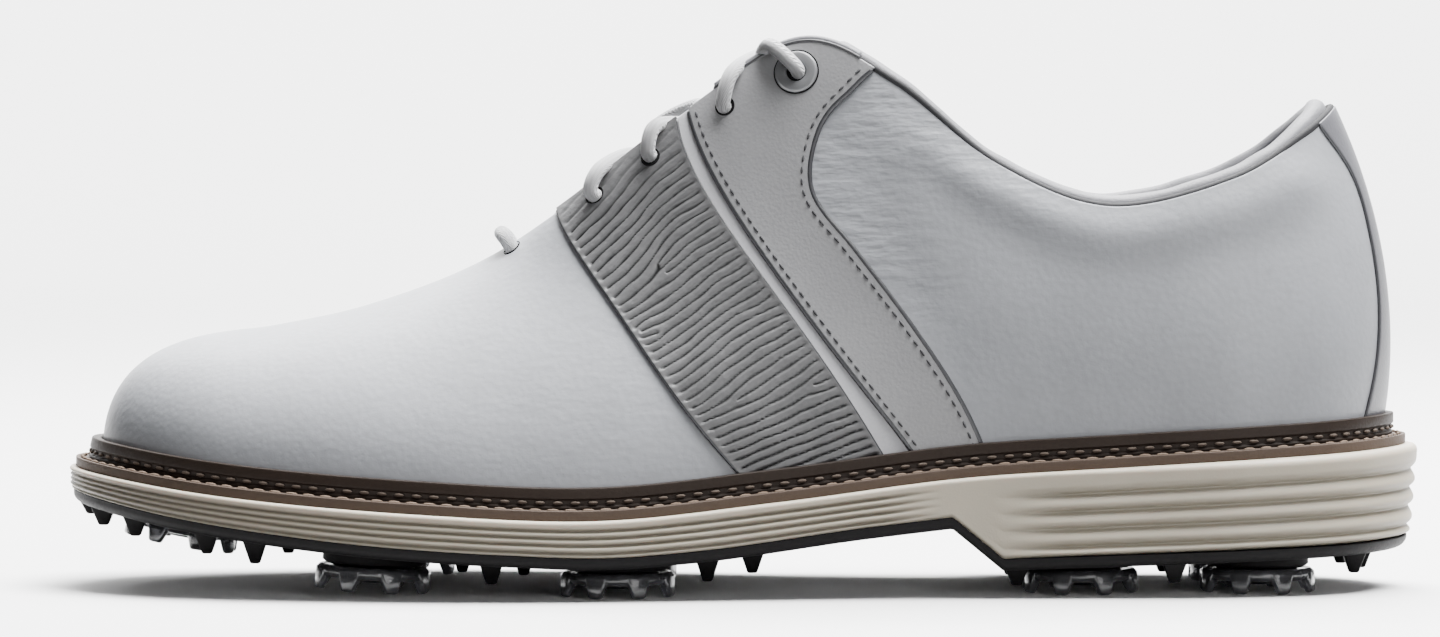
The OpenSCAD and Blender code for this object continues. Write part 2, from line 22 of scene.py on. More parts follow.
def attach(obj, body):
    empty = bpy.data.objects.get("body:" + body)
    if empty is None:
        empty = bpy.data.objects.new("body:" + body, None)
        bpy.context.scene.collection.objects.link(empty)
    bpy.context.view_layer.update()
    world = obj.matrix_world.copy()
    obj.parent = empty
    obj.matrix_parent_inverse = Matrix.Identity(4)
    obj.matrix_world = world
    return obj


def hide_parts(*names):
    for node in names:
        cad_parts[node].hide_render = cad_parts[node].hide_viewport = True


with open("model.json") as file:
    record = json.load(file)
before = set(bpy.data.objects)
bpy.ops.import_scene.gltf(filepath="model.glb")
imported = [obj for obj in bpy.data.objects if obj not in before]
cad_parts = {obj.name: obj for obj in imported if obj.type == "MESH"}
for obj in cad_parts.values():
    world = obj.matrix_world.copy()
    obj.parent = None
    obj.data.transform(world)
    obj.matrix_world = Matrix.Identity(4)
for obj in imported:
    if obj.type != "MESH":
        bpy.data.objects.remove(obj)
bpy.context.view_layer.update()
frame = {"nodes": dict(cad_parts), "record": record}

MM = 0.001
SHOE = "shoe"
TONGUE = "tongue"
LOG = logging.getLogger("golf_shoe")
Array = np.ndarray
Mesh = bmesh.types.BMesh
Piece = bpy.types.Object
Material = bpy.types.Material
Socket = bpy.types.NodeSocket
Pair = tuple[float, float]
Triple = tuple[float, float, float]
Quad = tuple[float, float, float, float]
Place = Callable[[Array, Array], Array]
Edge = Callable[[Array], Array]
Marks = dict[str, Place]


class Side(Enum):
    """The two sides of the shoe, as the sign of Y."""

    LATERAL = -1
    MEDIAL = 1

    @property
    def word(self) -> str:
        """The side's name as piece and node names use it."""
        return self.name.lower()


# ---------------------------------------------------------------- finishes


class Board:
    """A material's node tree, with short calls for adding and joining nodes."""

    def __init__(self, name: str) -> None:
        """Starts an empty material with a Principled shader joined to its output.

        Args:
            name: Name of the material.
        """
        self.material = bpy.data.materials.new(name)
        self.material.use_nodes = True
        self.tree = self.material.node_tree
        self.tree.nodes.clear()
        self.shader = self.add("ShaderNodeBsdfPrincipled")
        output = self.add("ShaderNodeOutputMaterial")
        self.tree.links.new(self.shader.outputs[0], output.inputs["Surface"])

    def add(self, kind: str, **settings: object) -> bpy.types.Node:
        """Adds a node and sets its properties.

        Args:
            kind: Blender's name for the node type.
            **settings: Properties of the node.

        Returns:
            The new node.
        """
        node = self.tree.nodes.new(kind)
        for key, value in settings.items():
            setattr(node, key, value)
        return node

    def put(self, target: Socket, value: object) -> None:
        """Joins a socket to another socket, or sets its value.

        Args:
            target: The input to feed.
            value: An output socket, a number or a colour.
        """
        if isinstance(value, Socket):
            self.tree.links.new(value, target)
        elif isinstance(value, tuple) and len(value) == 3 and len(target.default_value) == 4:
            target.default_value = (*value, 1.0)
        else:
            target.default_value = value

    def finish(self, **values: object) -> None:
        """Sets inputs of the Principled shader, with underscores for spaces.

        Args:
            **values: Socket names and what feeds them.
        """
        for key, value in values.items():
            self.put(self.shader.inputs[key.replace("_", " ")], value)

    def where(self, source: str = "Object", scale: Triple = (1, 1, 1)) -> Socket:
        """Gives texture coordinates.

        Args:
            source: Object or UV.
            scale: How much the pattern is stretched along each axis.

        Returns:
            The vector output.
        """
        spot = self.add("ShaderNodeTexCoord").outputs[source]
        mapping = self.add("ShaderNodeMapping")
        self.put(mapping.inputs["Vector"], spot)
        mapping.inputs["Scale"].default_value = scale
        return mapping.outputs["Vector"]

    def noise(self, spot: object, scale: float, detail: float = 3.0, rough: float = 0.5) -> Socket:
        """Adds soft noise.

        Args:
            spot: Coordinates.
            scale: Bumps per metre.
            detail: Octaves.
            rough: How strong the finer octaves are.

        Returns:
            The factor output.
        """
        node = self.add("ShaderNodeTexNoise")
        self.put(node.inputs["Vector"], spot)
        node.inputs["Scale"].default_value = scale
        node.inputs["Detail"].default_value = detail
        node.inputs["Roughness"].default_value = rough
        return node.outputs["Fac"]

    def cells(self, spot: object, scale: float, feature: str = "F1") -> Socket:
        """Adds a cell pattern, such as the pebbles of a grained leather.

        Args:
            spot: Coordinates.
            scale: Cells per metre.
            feature: Which distance is measured.

        Returns:
            The distance output.
        """
        node = self.add("ShaderNodeTexVoronoi", feature=feature)
        self.put(node.inputs["Vector"], spot)
        node.inputs["Scale"].default_value = scale
        return node.outputs["Distance"]

    def maths(self, operation: str, first: object, second: object = 0.0) -> Socket:
        """Adds a sum on one or two values.

        Args:
            operation: Blender's name for the operation.
            first: First value or socket.
            second: Second value or socket.

        Returns:
            The result.
        """
        node = self.add("ShaderNodeMath", operation=operation)
        self.put(node.inputs[0], first)
        self.put(node.inputs[1], second)
        return node.outputs[0]

    def ramp(self, value: object, low: float, high: float, floor: float = 0.0, top: float = 1.0) -> Socket:
        """Stretches a value from one range to another, held at its ends.

        Args:
            value: What to stretch.
            low: Input that gives floor.
            high: Input that gives top.
            floor: Output at low.
            top: Output at high.

        Returns:
            The stretched value.
        """
        node = self.add("ShaderNodeMapRange")
        names = ("Value", "From Min", "From Max", "To Min", "To Max")
        for key, number in zip(names, (value, low, high, floor, top)):
            self.put(node.inputs[key], number)
        return node.outputs["Result"]

    def mix(self, factor: object, first: object, second: object) -> Socket:
        """Blends two colours.

        Args:
            factor: 0 for the first colour and 1 for the second.
            first: Colour or socket.
            second: Colour or socket.

        Returns:
            The blended colour.
        """
        node = self.add("ShaderNodeMix", data_type="RGBA")
        self.put(node.inputs["Factor"], factor)
        self.put(node.inputs[6], first)
        self.put(node.inputs[7], second)
        return node.outputs[2]

    def painted(self, name: str) -> Socket:
        """Reads a number stored on the mesh.

        Args:
            name: Name of the attribute.

        Returns:
            Its value.
        """
        return self.add("ShaderNodeAttribute", attribute_name=name).outputs["Fac"]

    def bump(self, height: object, depth: float, under: object = None) -> Socket:
        """Turns a height into a surface normal.

        Args:
            height: Height from 0 to 1.
            depth: What a height of 1 stands for, in metres.
            under: A normal to build on.

        Returns:
            The normal.
        """
        node = self.add("ShaderNodeBump")
        self.put(node.inputs["Height"], height)
        node.inputs["Distance"].default_value = depth
        if under is not None:
            self.put(node.inputs["Normal"], under)
        return node.outputs["Normal"]


def tone(red: int, green: int, blue: int) -> Triple:
    """Turns a display colour of 0 to 255 into the linear one that shaders use."""
    steps = (red / 255, green / 255, blue / 255)
    return tuple(c / 12.92 if c <= 0.04045 else ((c + 0.055) / 1.055) ** 2.4 for c in steps)


def scaled(colour: Triple, factor: float) -> Triple:
    """Makes a linear colour lighter or darker."""
    return tuple(min(c * factor, 1.0) for c in colour)


@dataclass(frozen=True)
class Leather:
    """Grained leather with soft pebbles, fine creases and a little mottling."""

    name: str
    colour: Triple
    pebble: float = 0.0014
    depth: float = 0.00006
    roughness: float = 0.5
    crease_depth: float = 0.00013
    mottle: float = 0.05
    specular: float = 0.35

    def build(self) -> Material:
        """Makes the material."""
        board = Board(self.name)
        spot = board.where()
        patches = board.noise(spot, 55, 4, 0.55)
        fine = board.noise(spot, 1 / self.pebble * 3.2, 3)
        pebbles = board.cells(spot, 1 / self.pebble, "SMOOTH_F1")
        wrinkle_spot = board.where(scale=(0.3, 0.3, 1.0))
        waves = board.noise(wrinkle_spot, 470, 2, 0.45)
        wrinkles = board.ramp(waves, 0.34, 0.66)
        crease = board.maths("MULTIPLY", wrinkles, board.painted("crease"))
        normal = board.bump(pebbles, self.depth)
        normal = board.bump(fine, self.depth * 0.35, normal)
        normal = board.bump(crease, self.crease_depth, normal)
        light = scaled(self.colour, 1 + self.mottle)
        dark = scaled(self.colour, 1 - self.mottle)
        base = board.mix(board.ramp(patches, 0.35, 0.65), dark, light)
        pores = board.ramp(pebbles, 0.45, 0.8, 0.0, 0.22)
        colour = board.mix(pores, base, scaled(self.colour, 0.72))
        rough = board.ramp(fine, 0.2, 0.8, self.roughness - 0.08, self.roughness + 0.1)
        board.finish(Base_Color=colour, Roughness=rough)
        board.finish(Normal=normal, Coat_Weight=0.05, Coat_Roughness=0.35, Specular_IOR_Level=self.specular)
        return board.material


@dataclass(frozen=True)
class Embossed:
    """Leather pressed with deep ridges, with painted shade that darkens the valleys against the crests."""

    name: str
    colour: Triple
    # Colour of the painted shade in the ridge valleys.
    valley: Triple

    def build(self) -> Material:
        """Makes the material."""
        board = Board(self.name)
        spot = board.where()
        patches = board.noise(spot, 70, 4, 0.6)
        specks = board.noise(spot, 2600, 2)
        scales = board.cells(spot, 900, "SMOOTH_F1")
        dark = scaled(self.colour, 0.86)
        light = scaled(self.colour, 1.14)
        base = board.mix(board.ramp(patches, 0.35, 0.65), dark, light)
        height = board.painted("ridge")
        # Painted shade: the stored ridge height mixes the valleys towards the dark valley colour.
        colour = board.mix(board.ramp(height, 0.1, 0.75), self.valley, base)
        normal = board.bump(scales, 0.00009)
        normal = board.bump(specks, 0.00005, normal)
        board.finish(Base_Color=colour, Roughness=board.ramp(specks, 0.2, 0.8, 0.34, 0.52))
        board.finish(Normal=normal, Coat_Weight=0.06, Coat_Roughness=0.3, Specular_IOR_Level=0.3)
        return board.material


@dataclass(frozen=True)
class Plain:
    """A moulded or dressed material: one colour with soft patches and a fine surface."""

    name: str
    colour: Triple
    roughness: float = 0.5
    depth: float = 0.00004
    grain: float = 1400
    patchy: float = 0.06
    metallic: float = 0.0
    coat: float = 0.0
    specular: float = 0.3

    def build(self) -> Material:
        """Makes the material."""
        board = Board(self.name)
        spot = board.where()
        patches = board.noise(spot, 45, 4, 0.6)
        fine = board.noise(spot, self.grain, 3)
        base = board.mix(patches, scaled(self.colour, 1 - self.patchy), scaled(self.colour, 1 + self.patchy))
        board.finish(Base_Color=base, Metallic=self.metallic, Coat_Weight=self.coat)
        board.finish(Specular_IOR_Level=self.specular)
        board.finish(Roughness=board.ramp(fine, 0.2, 0.8, self.roughness - 0.06, self.roughness + 0.08))
        board.finish(Normal=board.bump(fine, self.depth))
        return board.material


@dataclass(frozen=True)
class Foam:
    """Moulded sole foam, with painted shade in its grooves and under its rib lips, which a stored number
    marks.
    """

    name: str
    colour: Triple
    # Colour of the painted shade in the grooves and rib hollows.
    groove_shade: Triple

    def build(self) -> Material:
        """Makes the material."""
        board = Board(self.name)
        spot = board.where()
        patches = board.noise(spot, 30, 4, 0.6)
        fine = board.noise(spot, 1800, 3)
        base = board.mix(patches, scaled(self.colour, 0.95), scaled(self.colour, 1.05))
        # Painted shade: the stored number darkens the grooves and rib hollows.
        colour = board.mix(board.painted("groove_shade"), base, self.groove_shade)
        board.finish(Base_Color=colour, Roughness=board.ramp(fine, 0.2, 0.8, 0.42, 0.58))
        board.finish(Normal=board.bump(fine, 0.00003), Subsurface_Weight=0.08, Subsurface_Scale=0.004)
        return board.material


@dataclass(frozen=True)
class Clear:
    """Clear, slightly smoky moulded urethane."""

    name: str
    colour: Triple
    roughness: float = 0.16
    transmission: float = 0.75

    def build(self) -> Material:
        """Makes the material."""
        board = Board(self.name)
        fine = board.noise(board.where(), 500, 3)
        board.finish(Base_Color=board.mix(fine, self.colour, scaled(self.colour, 1.15)))
        board.finish(Roughness=board.ramp(fine, 0.3, 0.7, self.roughness * 0.7, self.roughness * 1.5))
        board.finish(Transmission_Weight=self.transmission, IOR=1.49, Normal=board.bump(fine, 0.00006))
        return board.material


@dataclass(frozen=True)
class Braid:
    """Braided cord: two crossing sets of strands laid out on the cord's own map."""

    name: str
    colour: Triple
    strand: float = 0.0011
    depth: float = 0.00022

    def build(self) -> Material:
        """Makes the material."""
        board = Board(self.name)
        heights = []
        for lean in (1.0, -1.0):
            mapping = board.add("ShaderNodeMapping")
            board.put(mapping.inputs["Vector"], board.add("ShaderNodeTexCoord").outputs["UV"])
            mapping.inputs["Rotation"].default_value = (0, 0, lean * math.radians(38))
            wave = board.add("ShaderNodeTexWave")
            board.put(wave.inputs["Vector"], mapping.outputs["Vector"])
            wave.inputs["Scale"].default_value = 0.31 / self.strand
            heights.append(wave.outputs["Fac"])
        weave = board.maths("MAXIMUM", *heights)
        fuzz = board.noise(board.where(), 5200, 2)
        normal = board.bump(weave, self.depth)
        normal = board.bump(fuzz, 0.00004, normal)
        colour = board.mix(board.ramp(weave, 0.2, 0.8), scaled(self.colour, 0.7), self.colour)
        board.finish(Base_Color=colour, Roughness=0.72, Normal=normal, Sheen_Weight=0.25)
        return board.material


@dataclass(frozen=True)
class Knit:
    """Fine knitted lining cloth."""

    name: str
    colour: Triple
    loop: float = 0.0009

    def build(self) -> Material:
        """Makes the material."""
        board = Board(self.name)
        spot = board.where()
        loops = board.cells(spot, 1 / self.loop)
        fuzz = board.noise(spot, 4200, 3)
        patches = board.noise(spot, 40, 3)
        base = board.mix(patches, scaled(self.colour, 0.92), scaled(self.colour, 1.06))
        colour = board.mix(board.ramp(loops, 0.2, 0.6, 0.0, 0.35), base, scaled(self.colour, 0.6))
        normal = board.bump(loops, 0.00018)
        normal = board.bump(fuzz, 0.00005, normal)
        board.finish(Base_Color=colour, Roughness=0.85, Normal=normal, Sheen_Weight=0.2)
        return board.material


class Wardrobe:
    """All finishes of the shoe, each made into a material the first time it is asked for."""

    RECIPES = (
        Leather("white_leather", tone(163, 165, 170), roughness=0.42),
        Leather("stripe_leather", tone(196, 196, 200), pebble=0.0006, depth=0.00003, roughness=0.4),
        Leather("facing_leather", tone(148, 148, 150), pebble=0.0007, depth=0.00005, roughness=0.36),
        Leather("heel_leather", tone(98, 98, 103), pebble=0.0007, depth=0.00005, roughness=0.42),
        Leather("collar_leather", tone(112, 112, 116), pebble=0.0007, depth=0.00006, roughness=0.5),
        Leather("tongue_leather", tone(168, 169, 173), pebble=0.0009, depth=0.0001, roughness=0.5),
        # The second colour is painted shade for the saddle's ridge valleys.
        Embossed("saddle_leather", tone(99, 99, 100), tone(18, 18, 19)),
        Plain("cut_edge", tone(44, 44, 46), roughness=0.7, depth=0.00008, specular=0.2),
        # Dark edge paint, which also stands in as painted shade where the raised overlays step down.
        Plain("edge_paint_and_shade", tone(50, 50, 53), roughness=0.4, depth=0.00008, grain=900, specular=0.35),
        Plain("welt_leather", tone(80, 68, 60), roughness=0.6, depth=0.00006, patchy=0.2, specular=0.15),
        Plain("storm_leather", tone(37, 29, 24), roughness=0.5, depth=0.00007, patchy=0.25, specular=0.12),
        Plain("welt_thread", tone(116, 100, 87), roughness=0.75, grain=4000, depth=0.00006, specular=0.15),
        Plain("storm_thread", tone(92, 82, 74), roughness=0.75, grain=4000, depth=0.00006, specular=0.15),
        Plain("facing_thread", tone(84, 84, 86), roughness=0.7, grain=4000, depth=0.00005, specular=0.15),
        Plain("black_rubber", tone(10, 9, 10), roughness=0.55, depth=0.00005, patchy=0.2, specular=0.1),
        Plain("hole_shadow", tone(14, 14, 15), roughness=0.8, specular=0.1),
        Plain("ring_metal", tone(122, 123, 125), roughness=0.38, metallic=0.2, coat=0.1),
        Plain("cleat_core", tone(18, 18, 20), roughness=0.3, specular=0.25),
        Plain("steel", tone(160, 162, 166), roughness=0.35, metallic=1.0),
        Plain("cork", tone(166, 122, 80), roughness=0.85, grain=500, depth=0.0002, patchy=0.25),
        Plain("leather_board", tone(176, 146, 110), roughness=0.7, patchy=0.1),
        Plain("canvas", tone(226, 220, 206), roughness=0.85, depth=0.0001),
        Plain("stiffener", tone(206, 190, 154), roughness=0.6),
        Plain("soft_foam", tone(232, 222, 196), roughness=0.9, grain=2500, depth=0.00012),
        # The second colour is painted shade for the midsole's grooves and rib hollows.
        Foam("cream_foam", tone(194, 185, 167), tone(100, 92, 77)),
        Clear("clear_claw", tone(120, 120, 124)),
        Clear("clear_tip", tone(225, 225, 228), transmission=0.5),
        Braid("lace_cord", tone(228, 228, 230)),
        Knit("lining_knit", tone(150, 150, 154)),
        Knit("footbed_cloth", tone(84, 85, 90), loop=0.0012),
    )

    def __init__(self) -> None:
        """Reads the recipes without making any material yet."""
        self.recipes = {recipe.name: recipe for recipe in self.RECIPES}
        self.made: dict[str, Material] = {}

    def get(self, name: str) -> Material:
        """Gives a finish by name.

        Args:
            name: Name of the finish.

        Returns:
            Its material.
        """
        if name not in self.made:
            self.made[name] = self.recipes[name].build()
        return self.made[name]


FINISHES = Wardrobe()

# ---------------------------------------------------------------- the last


@dataclass(frozen=True)
class Station:
    """One station round the last, in millimetres."""

    foot_x: float
    foot_lateral: float
    foot_medial: float
    rim_x: float
    rim_half: float
    rim_z: float
    low_out: float
    low_up: float
    high_out: float
    high_down: float


STATIONS = (
    Station(-146.5, 6.0, 6.0, -118.0, 0.0, 58.0, 0.5, 17, 20.0, 0),
    Station(-140.0, -14.0, 28.0, -115.0, 0.0, 58.4, 1.5, 17, 21.0, 0),
    Station(-118.0, -33.0, 40.0, -106.0, 0.0, 59.6, 2.5, 18, 23.0, 0),
    Station(-80.0, -43.5, 45.0, -86.0, 0.0, 64.0, 3.0, 19, 26.0, 0),
    Station(-42.0, -45.0, 41.5, -62.0, 0.0, 73.0, 3.0, 21, 26.0, 2),
    Station(2.5, -39.0, 32.0, -41.8, 7.5, 85.8, 3.0, 26, 18.0, 9),
    Station(33.8, -34.5, 29.0, -14.8, 12.0, 106.7, 3.0, 30, 12.0, 19),
    Station(47.0, -33.0, 28.7, 12.5, 15.5, 123.5, 3.0, 30, 9.0, 24),
    Station(57.0, -32.5, 29.0, 34.0, 21.5, 115.0, 3.0, 28, 7.0, 24),
    Station(69.0, -32.5, 30.0, 57.0, 26.0, 96.5, 3.0, 24, 5.0, 19),
    Station(84.0, -32.5, 30.5, 82.0, 28.0, 87.0, 3.0, 21, 4.0, 17),
    Station(112.0, -31.5, 30.5, 110.0, 25.0, 93.2, 3.0, 22, 5.0, 20),
    Station(134.0, -22.5, 22.5, 127.5, 15.0, 103.8, 3.5, 24, 8.0, 24),
    Station(145.0, 0.0, 0.0, 134.3, 0.0, 109.3, 5.0, 24, 11.5, 24),
)
HEEL = len(STATIONS) - 1
THROAT = 4
SADDLE = 5
STRIPE = 6
COLLAR_START = 7.3
SOLE_TOP = (
    (-154, 27.6), (-114, 22.6), (-72, 19.4), (-31, 18), (8, 21.8),
    (49, 26.8), (86, 29.2), (124, 31.4), (154, 33),
)
SOLE_LOW = (
    (-154, 22.6), (-130, 18.3), (-93, 13.4), (-50, 10.4), (-31, 9.8),
    (-12, 11), (27, 16), (46.4, 18.2),
)
HEEL_FRONT = (57.7, 8.9)
HEEL_BACK = (154, 12.1)
QUARTER_SEAM = ((0, 7.75), (0.3, 6.95), (0.5, 6.7), (0.65, 6.65), (0.76, 6.95), (0.88, 7.45), (1, 7.8))
STRIP_SEAM = ((0, 12.3), (0.3, 12.54), (0.6, 12.62), (0.8, 12.58), (1, 12.2))
LINING_SEAM = 7.25
BOW_POWER = 1.5
SADDLE_BOW = 0.24
SADDLE_SKEW = 0.66
STRIPE_BOW = 0.25
FACING_BOW = 0.43
STRIPE_SKEW = 0.545
STRIPE_WIDE = 0.42
STRIPE_TAPER = 0.32
WELT_THICK = 2.3
OUTSOLE_THICK = 2.7
RIDGE_ROW = 0.9999
UNDER_RIDGE = 0.9998
PROBE = 0.02
SPINE_PROBE = 0.3


def hermite(a: Array, b: Array, slope_a: Array, slope_b: Array, t: Array) -> Array:
    """Point on the cubic between two values with their slopes."""
    t2 = t * t
    t3 = t2 * t
    start = (2 * t3 - 3 * t2 + 1) * a + (t3 - 2 * t2 + t) * slope_a
    return start + (3 * t2 - 2 * t3) * b + (t3 - t2) * slope_b


class Curve:
    """Smooth curve through a short table of (x, value)."""

    def __init__(self, table: Sequence[Pair]) -> None:
        """Works out the slope at each point.

        Args:
            table: Points of the curve, in order of x.
        """
        self.x, self.y = np.array(table, float).T
        steps = np.diff(self.x)
        chords = np.diff(self.y) / steps
        inner = (chords[1:] * steps[:-1] + chords[:-1] * steps[1:]) / (steps[1:] + steps[:-1])
        self.slope = np.concatenate(([chords[0]], inner, [chords[-1]]))

    def __call__(self, x: Array) -> Array:
        """Value of the curve at x, held beyond its ends."""
        inside = np.clip(x, self.x[0], self.x[-1])
        i = np.clip(np.searchsorted(self.x, inside) - 1, 0, len(self.x) - 2)
        step = self.x[i + 1] - self.x[i]
        t = (inside - self.x[i]) / step
        return hermite(self.y[i], self.y[i + 1], self.slope[i] * step, self.slope[i + 1] * step, t)


sole_top = Curve(SOLE_TOP)
sole_front = Curve(SOLE_LOW)
quarter_seam = Curve(QUARTER_SEAM)
strip_seam = Curve(STRIP_SEAM)


def welt_top(x: Array) -> Array:
    """Height of the welt's upper face at x."""
    return sole_top(x) + WELT_THICK


def sole_low(x: Array) -> Array:
    """Height of the midsole's underside at x."""
    breast_x, breast_z = SOLE_LOW[-1]
    line_x = [breast_x, HEEL_FRONT[0], HEEL_BACK[0]]
    line_z = [breast_z, HEEL_FRONT[1], HEEL_BACK[1]]
    return np.where(x <= breast_x, sole_front(x), np.interp(x, line_x, line_z))


def spine_y(x: Array) -> Array:
    """How far the ridge of the toe swings to the medial side at x."""
    toe = STATIONS[0]
    return toe.foot_lateral * (np.maximum(-x, 0) / -toe.foot_x) ** 2


def bow(v: Array, skew: float) -> Array:
    """Share of its bow by which a straight seam leaves its station at row v.

    Args:
        v: Rows.
        skew: Power of v that is a half where the bow is fullest.

    Returns:
        Shares from 0 to 1.
    """
    return np.maximum(np.sin(np.pi * np.asarray(v, float) ** skew), 0) ** BOW_POWER


def stripe_start(v: Array) -> Array:
    """Station of the seam between saddle and stripe at row v."""
    return STRIPE - STRIPE_BOW * bow(v, STRIPE_SKEW)


def stripe_end(v: Array) -> Array:
    """Station of the seam between stripe and facing at row v."""
    return STRIPE + STRIPE_WIDE - STRIPE_TAPER * v - FACING_BOW * bow(v, STRIPE_SKEW)


def saddle_front(v: Array) -> Array:
    """Station of the saddle's toe edge at row v, which runs straight across the side."""
    return SADDLE - SADDLE_BOW * bow(v, SADDLE_SKEW)


def unit(vectors: Array) -> Array:
    """Vectors made one long."""
    return vectors / np.maximum(np.linalg.norm(vectors, axis=-1, keepdims=True), 1e-9)


class Last:
    """The shape that the upper is pulled over.

    A column w runs from -HEEL to HEEL: lateral below zero, the toe at 0, medial above,
    and the heel at both ends. A row v runs from 0 on the welt to 1 at the rim.
    """

    def __init__(self) -> None:
        """Works out the four control points of every station on both sides."""
        turns = range(-HEEL, HEEL + 1)
        self.points = np.array([self._column(j) for j in turns])

    @staticmethod
    def _wrapped(j: int) -> int:
        """Station number brought back between -HEEL and HEEL."""
        if j > HEEL:
            return j - 2 * HEEL
        return j + 2 * HEEL if j < -HEEL else j

    def _foot(self, j: int) -> Array:
        """Point of the foot line at a station."""
        k = self._wrapped(j)
        row = STATIONS[abs(k)]
        return np.array([row.foot_x, row.foot_medial if k > 0 else row.foot_lateral, welt_top(row.foot_x)])

    def _rim(self, j: int) -> Array:
        """Point of the rim at a station."""
        k = self._wrapped(j)
        row = STATIONS[abs(k)]
        return np.array([row.rim_x, spine_y(row.rim_x) + np.sign(k) * row.rim_half, row.rim_z])

    def _column(self, j: int) -> Array:
        """The four control points of a station."""
        along = self._foot(j + 1) - self._foot(j - 1)
        out = unit(np.array([-along[1], along[0], 0.0]))
        k = abs(self._wrapped(j))
        row = STATIONS[k]
        slope = 0.0
        if k <= THROAT:
            after, before = STATIONS[k + 1], STATIONS[max(k - 1, 0)]
            slope = (after.rim_z - before.rim_z) / (after.rim_x - before.rim_x)
        low = self._foot(j) + out * row.low_out + np.array([0, 0, row.low_up])
        pull = out * row.high_out
        high = self._rim(j) + pull + np.array([0, 0, pull[0] * slope - row.high_down])
        return np.array([self._foot(j), low, high, self._rim(j)])

    def control(self, k: int, w: Array) -> Array:
        """Points of one control curve.

        Args:
            k: 0 for the foot line up to 3 for the rim.
            w: Columns.

        Returns:
            Points in millimetres.
        """
        w = np.asarray(w, float)
        i = np.floor(w).astype(int)
        count = 2 * HEEL
        a, b, c, d = (self.points[(i + step + HEEL) % count, k] for step in (-1, 0, 1, 2))
        return hermite(b, c, (c - a) / 2, (d - b) / 2, (w - i)[..., None])

    def spine(self, u: Array) -> Array:
        """Points of the ridge of the toe, before the throat opens."""
        p = self.control(3, -u)
        p[..., 1] = spine_y(p[..., 0])
        return p

    def surface(self, w: Array, v: Array) -> Array:
        """Points of the outer surface, in millimetres."""
        w, v = np.broadcast_arrays(np.asarray(w, float), np.asarray(v, float))
        t = v[..., None]
        s = 1 - t
        rim = self.control(3, w)
        p = s**3 * self.control(0, w) + 3 * s * s * t * self.control(1, w)
        p = p + 3 * s * t * t * self.control(2, w) + t**3 * rim
        folded = np.mod(w + HEEL, 2 * HEEL) - HEEL
        ridge = (v > RIDGE_ROW) & (np.abs(folded) <= THROAT)
        return np.where(ridge[..., None], self.spine(np.minimum(np.abs(folded), THROAT)), p)

    def normal(self, w: Array, v: Array) -> Array:
        """Outward normals of the outer surface."""
        w, v = np.broadcast_arrays(np.asarray(w, float), np.asarray(v, float))
        folded = np.mod(w + HEEL, 2 * HEEL) - HEEL
        domed = (v > 0.9) & (np.abs(folded) <= THROAT)
        top = np.where(domed, UNDER_RIDGE, 1.0)
        low, high = np.clip(v - PROBE, 0, 1), np.minimum(v + PROBE, top)
        rise = self.surface(w, high) - self.surface(w, low)
        here = np.minimum(v, top)
        run = self.surface(w + PROBE, here) - self.surface(w - PROBE, here)
        n = unit(np.cross(rise, run))
        u = np.minimum(np.abs(folded), THROAT)
        back = self.spine(np.maximum(u - SPINE_PROBE, 0))
        ahead = self.spine(np.minimum(u + SPINE_PROBE, THROAT))
        ridge = np.stack([back[..., 2] - ahead[..., 2], 0 * u, ahead[..., 0] - back[..., 0]], axis=-1)
        on_ridge = (v > RIDGE_ROW) & (np.abs(folded) <= THROAT)
        return np.where(on_ridge[..., None], unit(ridge), n)

    def at(self, w: Array, v: Array, out: Array) -> Array:
        """Points that stand a distance out from the outer surface."""
        return self.surface(w, v) + self.normal(w, v) * np.asarray(out, float)[..., None]

    def foot_out(self, w: Array) -> Array:
        """Outward direction of the foot line in plan."""
        along = self.control(0, w + 0.01) - self.control(0, w - 0.01)
        return unit(np.stack([-along[..., 1], along[..., 0], 0 * w], axis=-1))

    def ring(self, w: Array, out: Array, height: Callable[[Array], Array]) -> Array:
        """Points of a ring round the foot line, at a height worked out from their x."""
        p = self.control(0, w) + self.foot_out(w) * np.asarray(out, float)[..., None]
        p[..., 2] = height(p[..., 0])
        return p


LAST = Last()

# ---------------------------------------------------------------- mesh tools


class Ripples:
    """Soft irregular waves, as a sum of sines with seeded directions."""

    def __init__(self, seed: int, length: float, count: int = 7) -> None:
        """Draws the waves.

        Args:
            seed: Seed of the random draws.
            length: Typical wave length, in the unit of the points.
            count: Number of waves.
        """
        rng = np.random.default_rng(seed)
        ways = unit(rng.normal(size=(count, 3))) * (2 * np.pi / length)
        self.ways = ways * rng.uniform(0.6, 1.6, (count, 1))
        self.starts = rng.uniform(0, 2 * np.pi, count)

    def __call__(self, points: Array) -> Array:
        """Height of the waves at each point, about -1 to 1."""
        return np.sin(points @ self.ways.T + self.starts).sum(axis=-1) / math.sqrt(len(self.starts))


def smooth_step(low: float, high: float, value: Array) -> Array:
    """0 below low, 1 above high and a smooth rise between."""
    t = np.clip((value - low) / (high - low), 0, 1)
    return t * t * (3 - 2 * t)


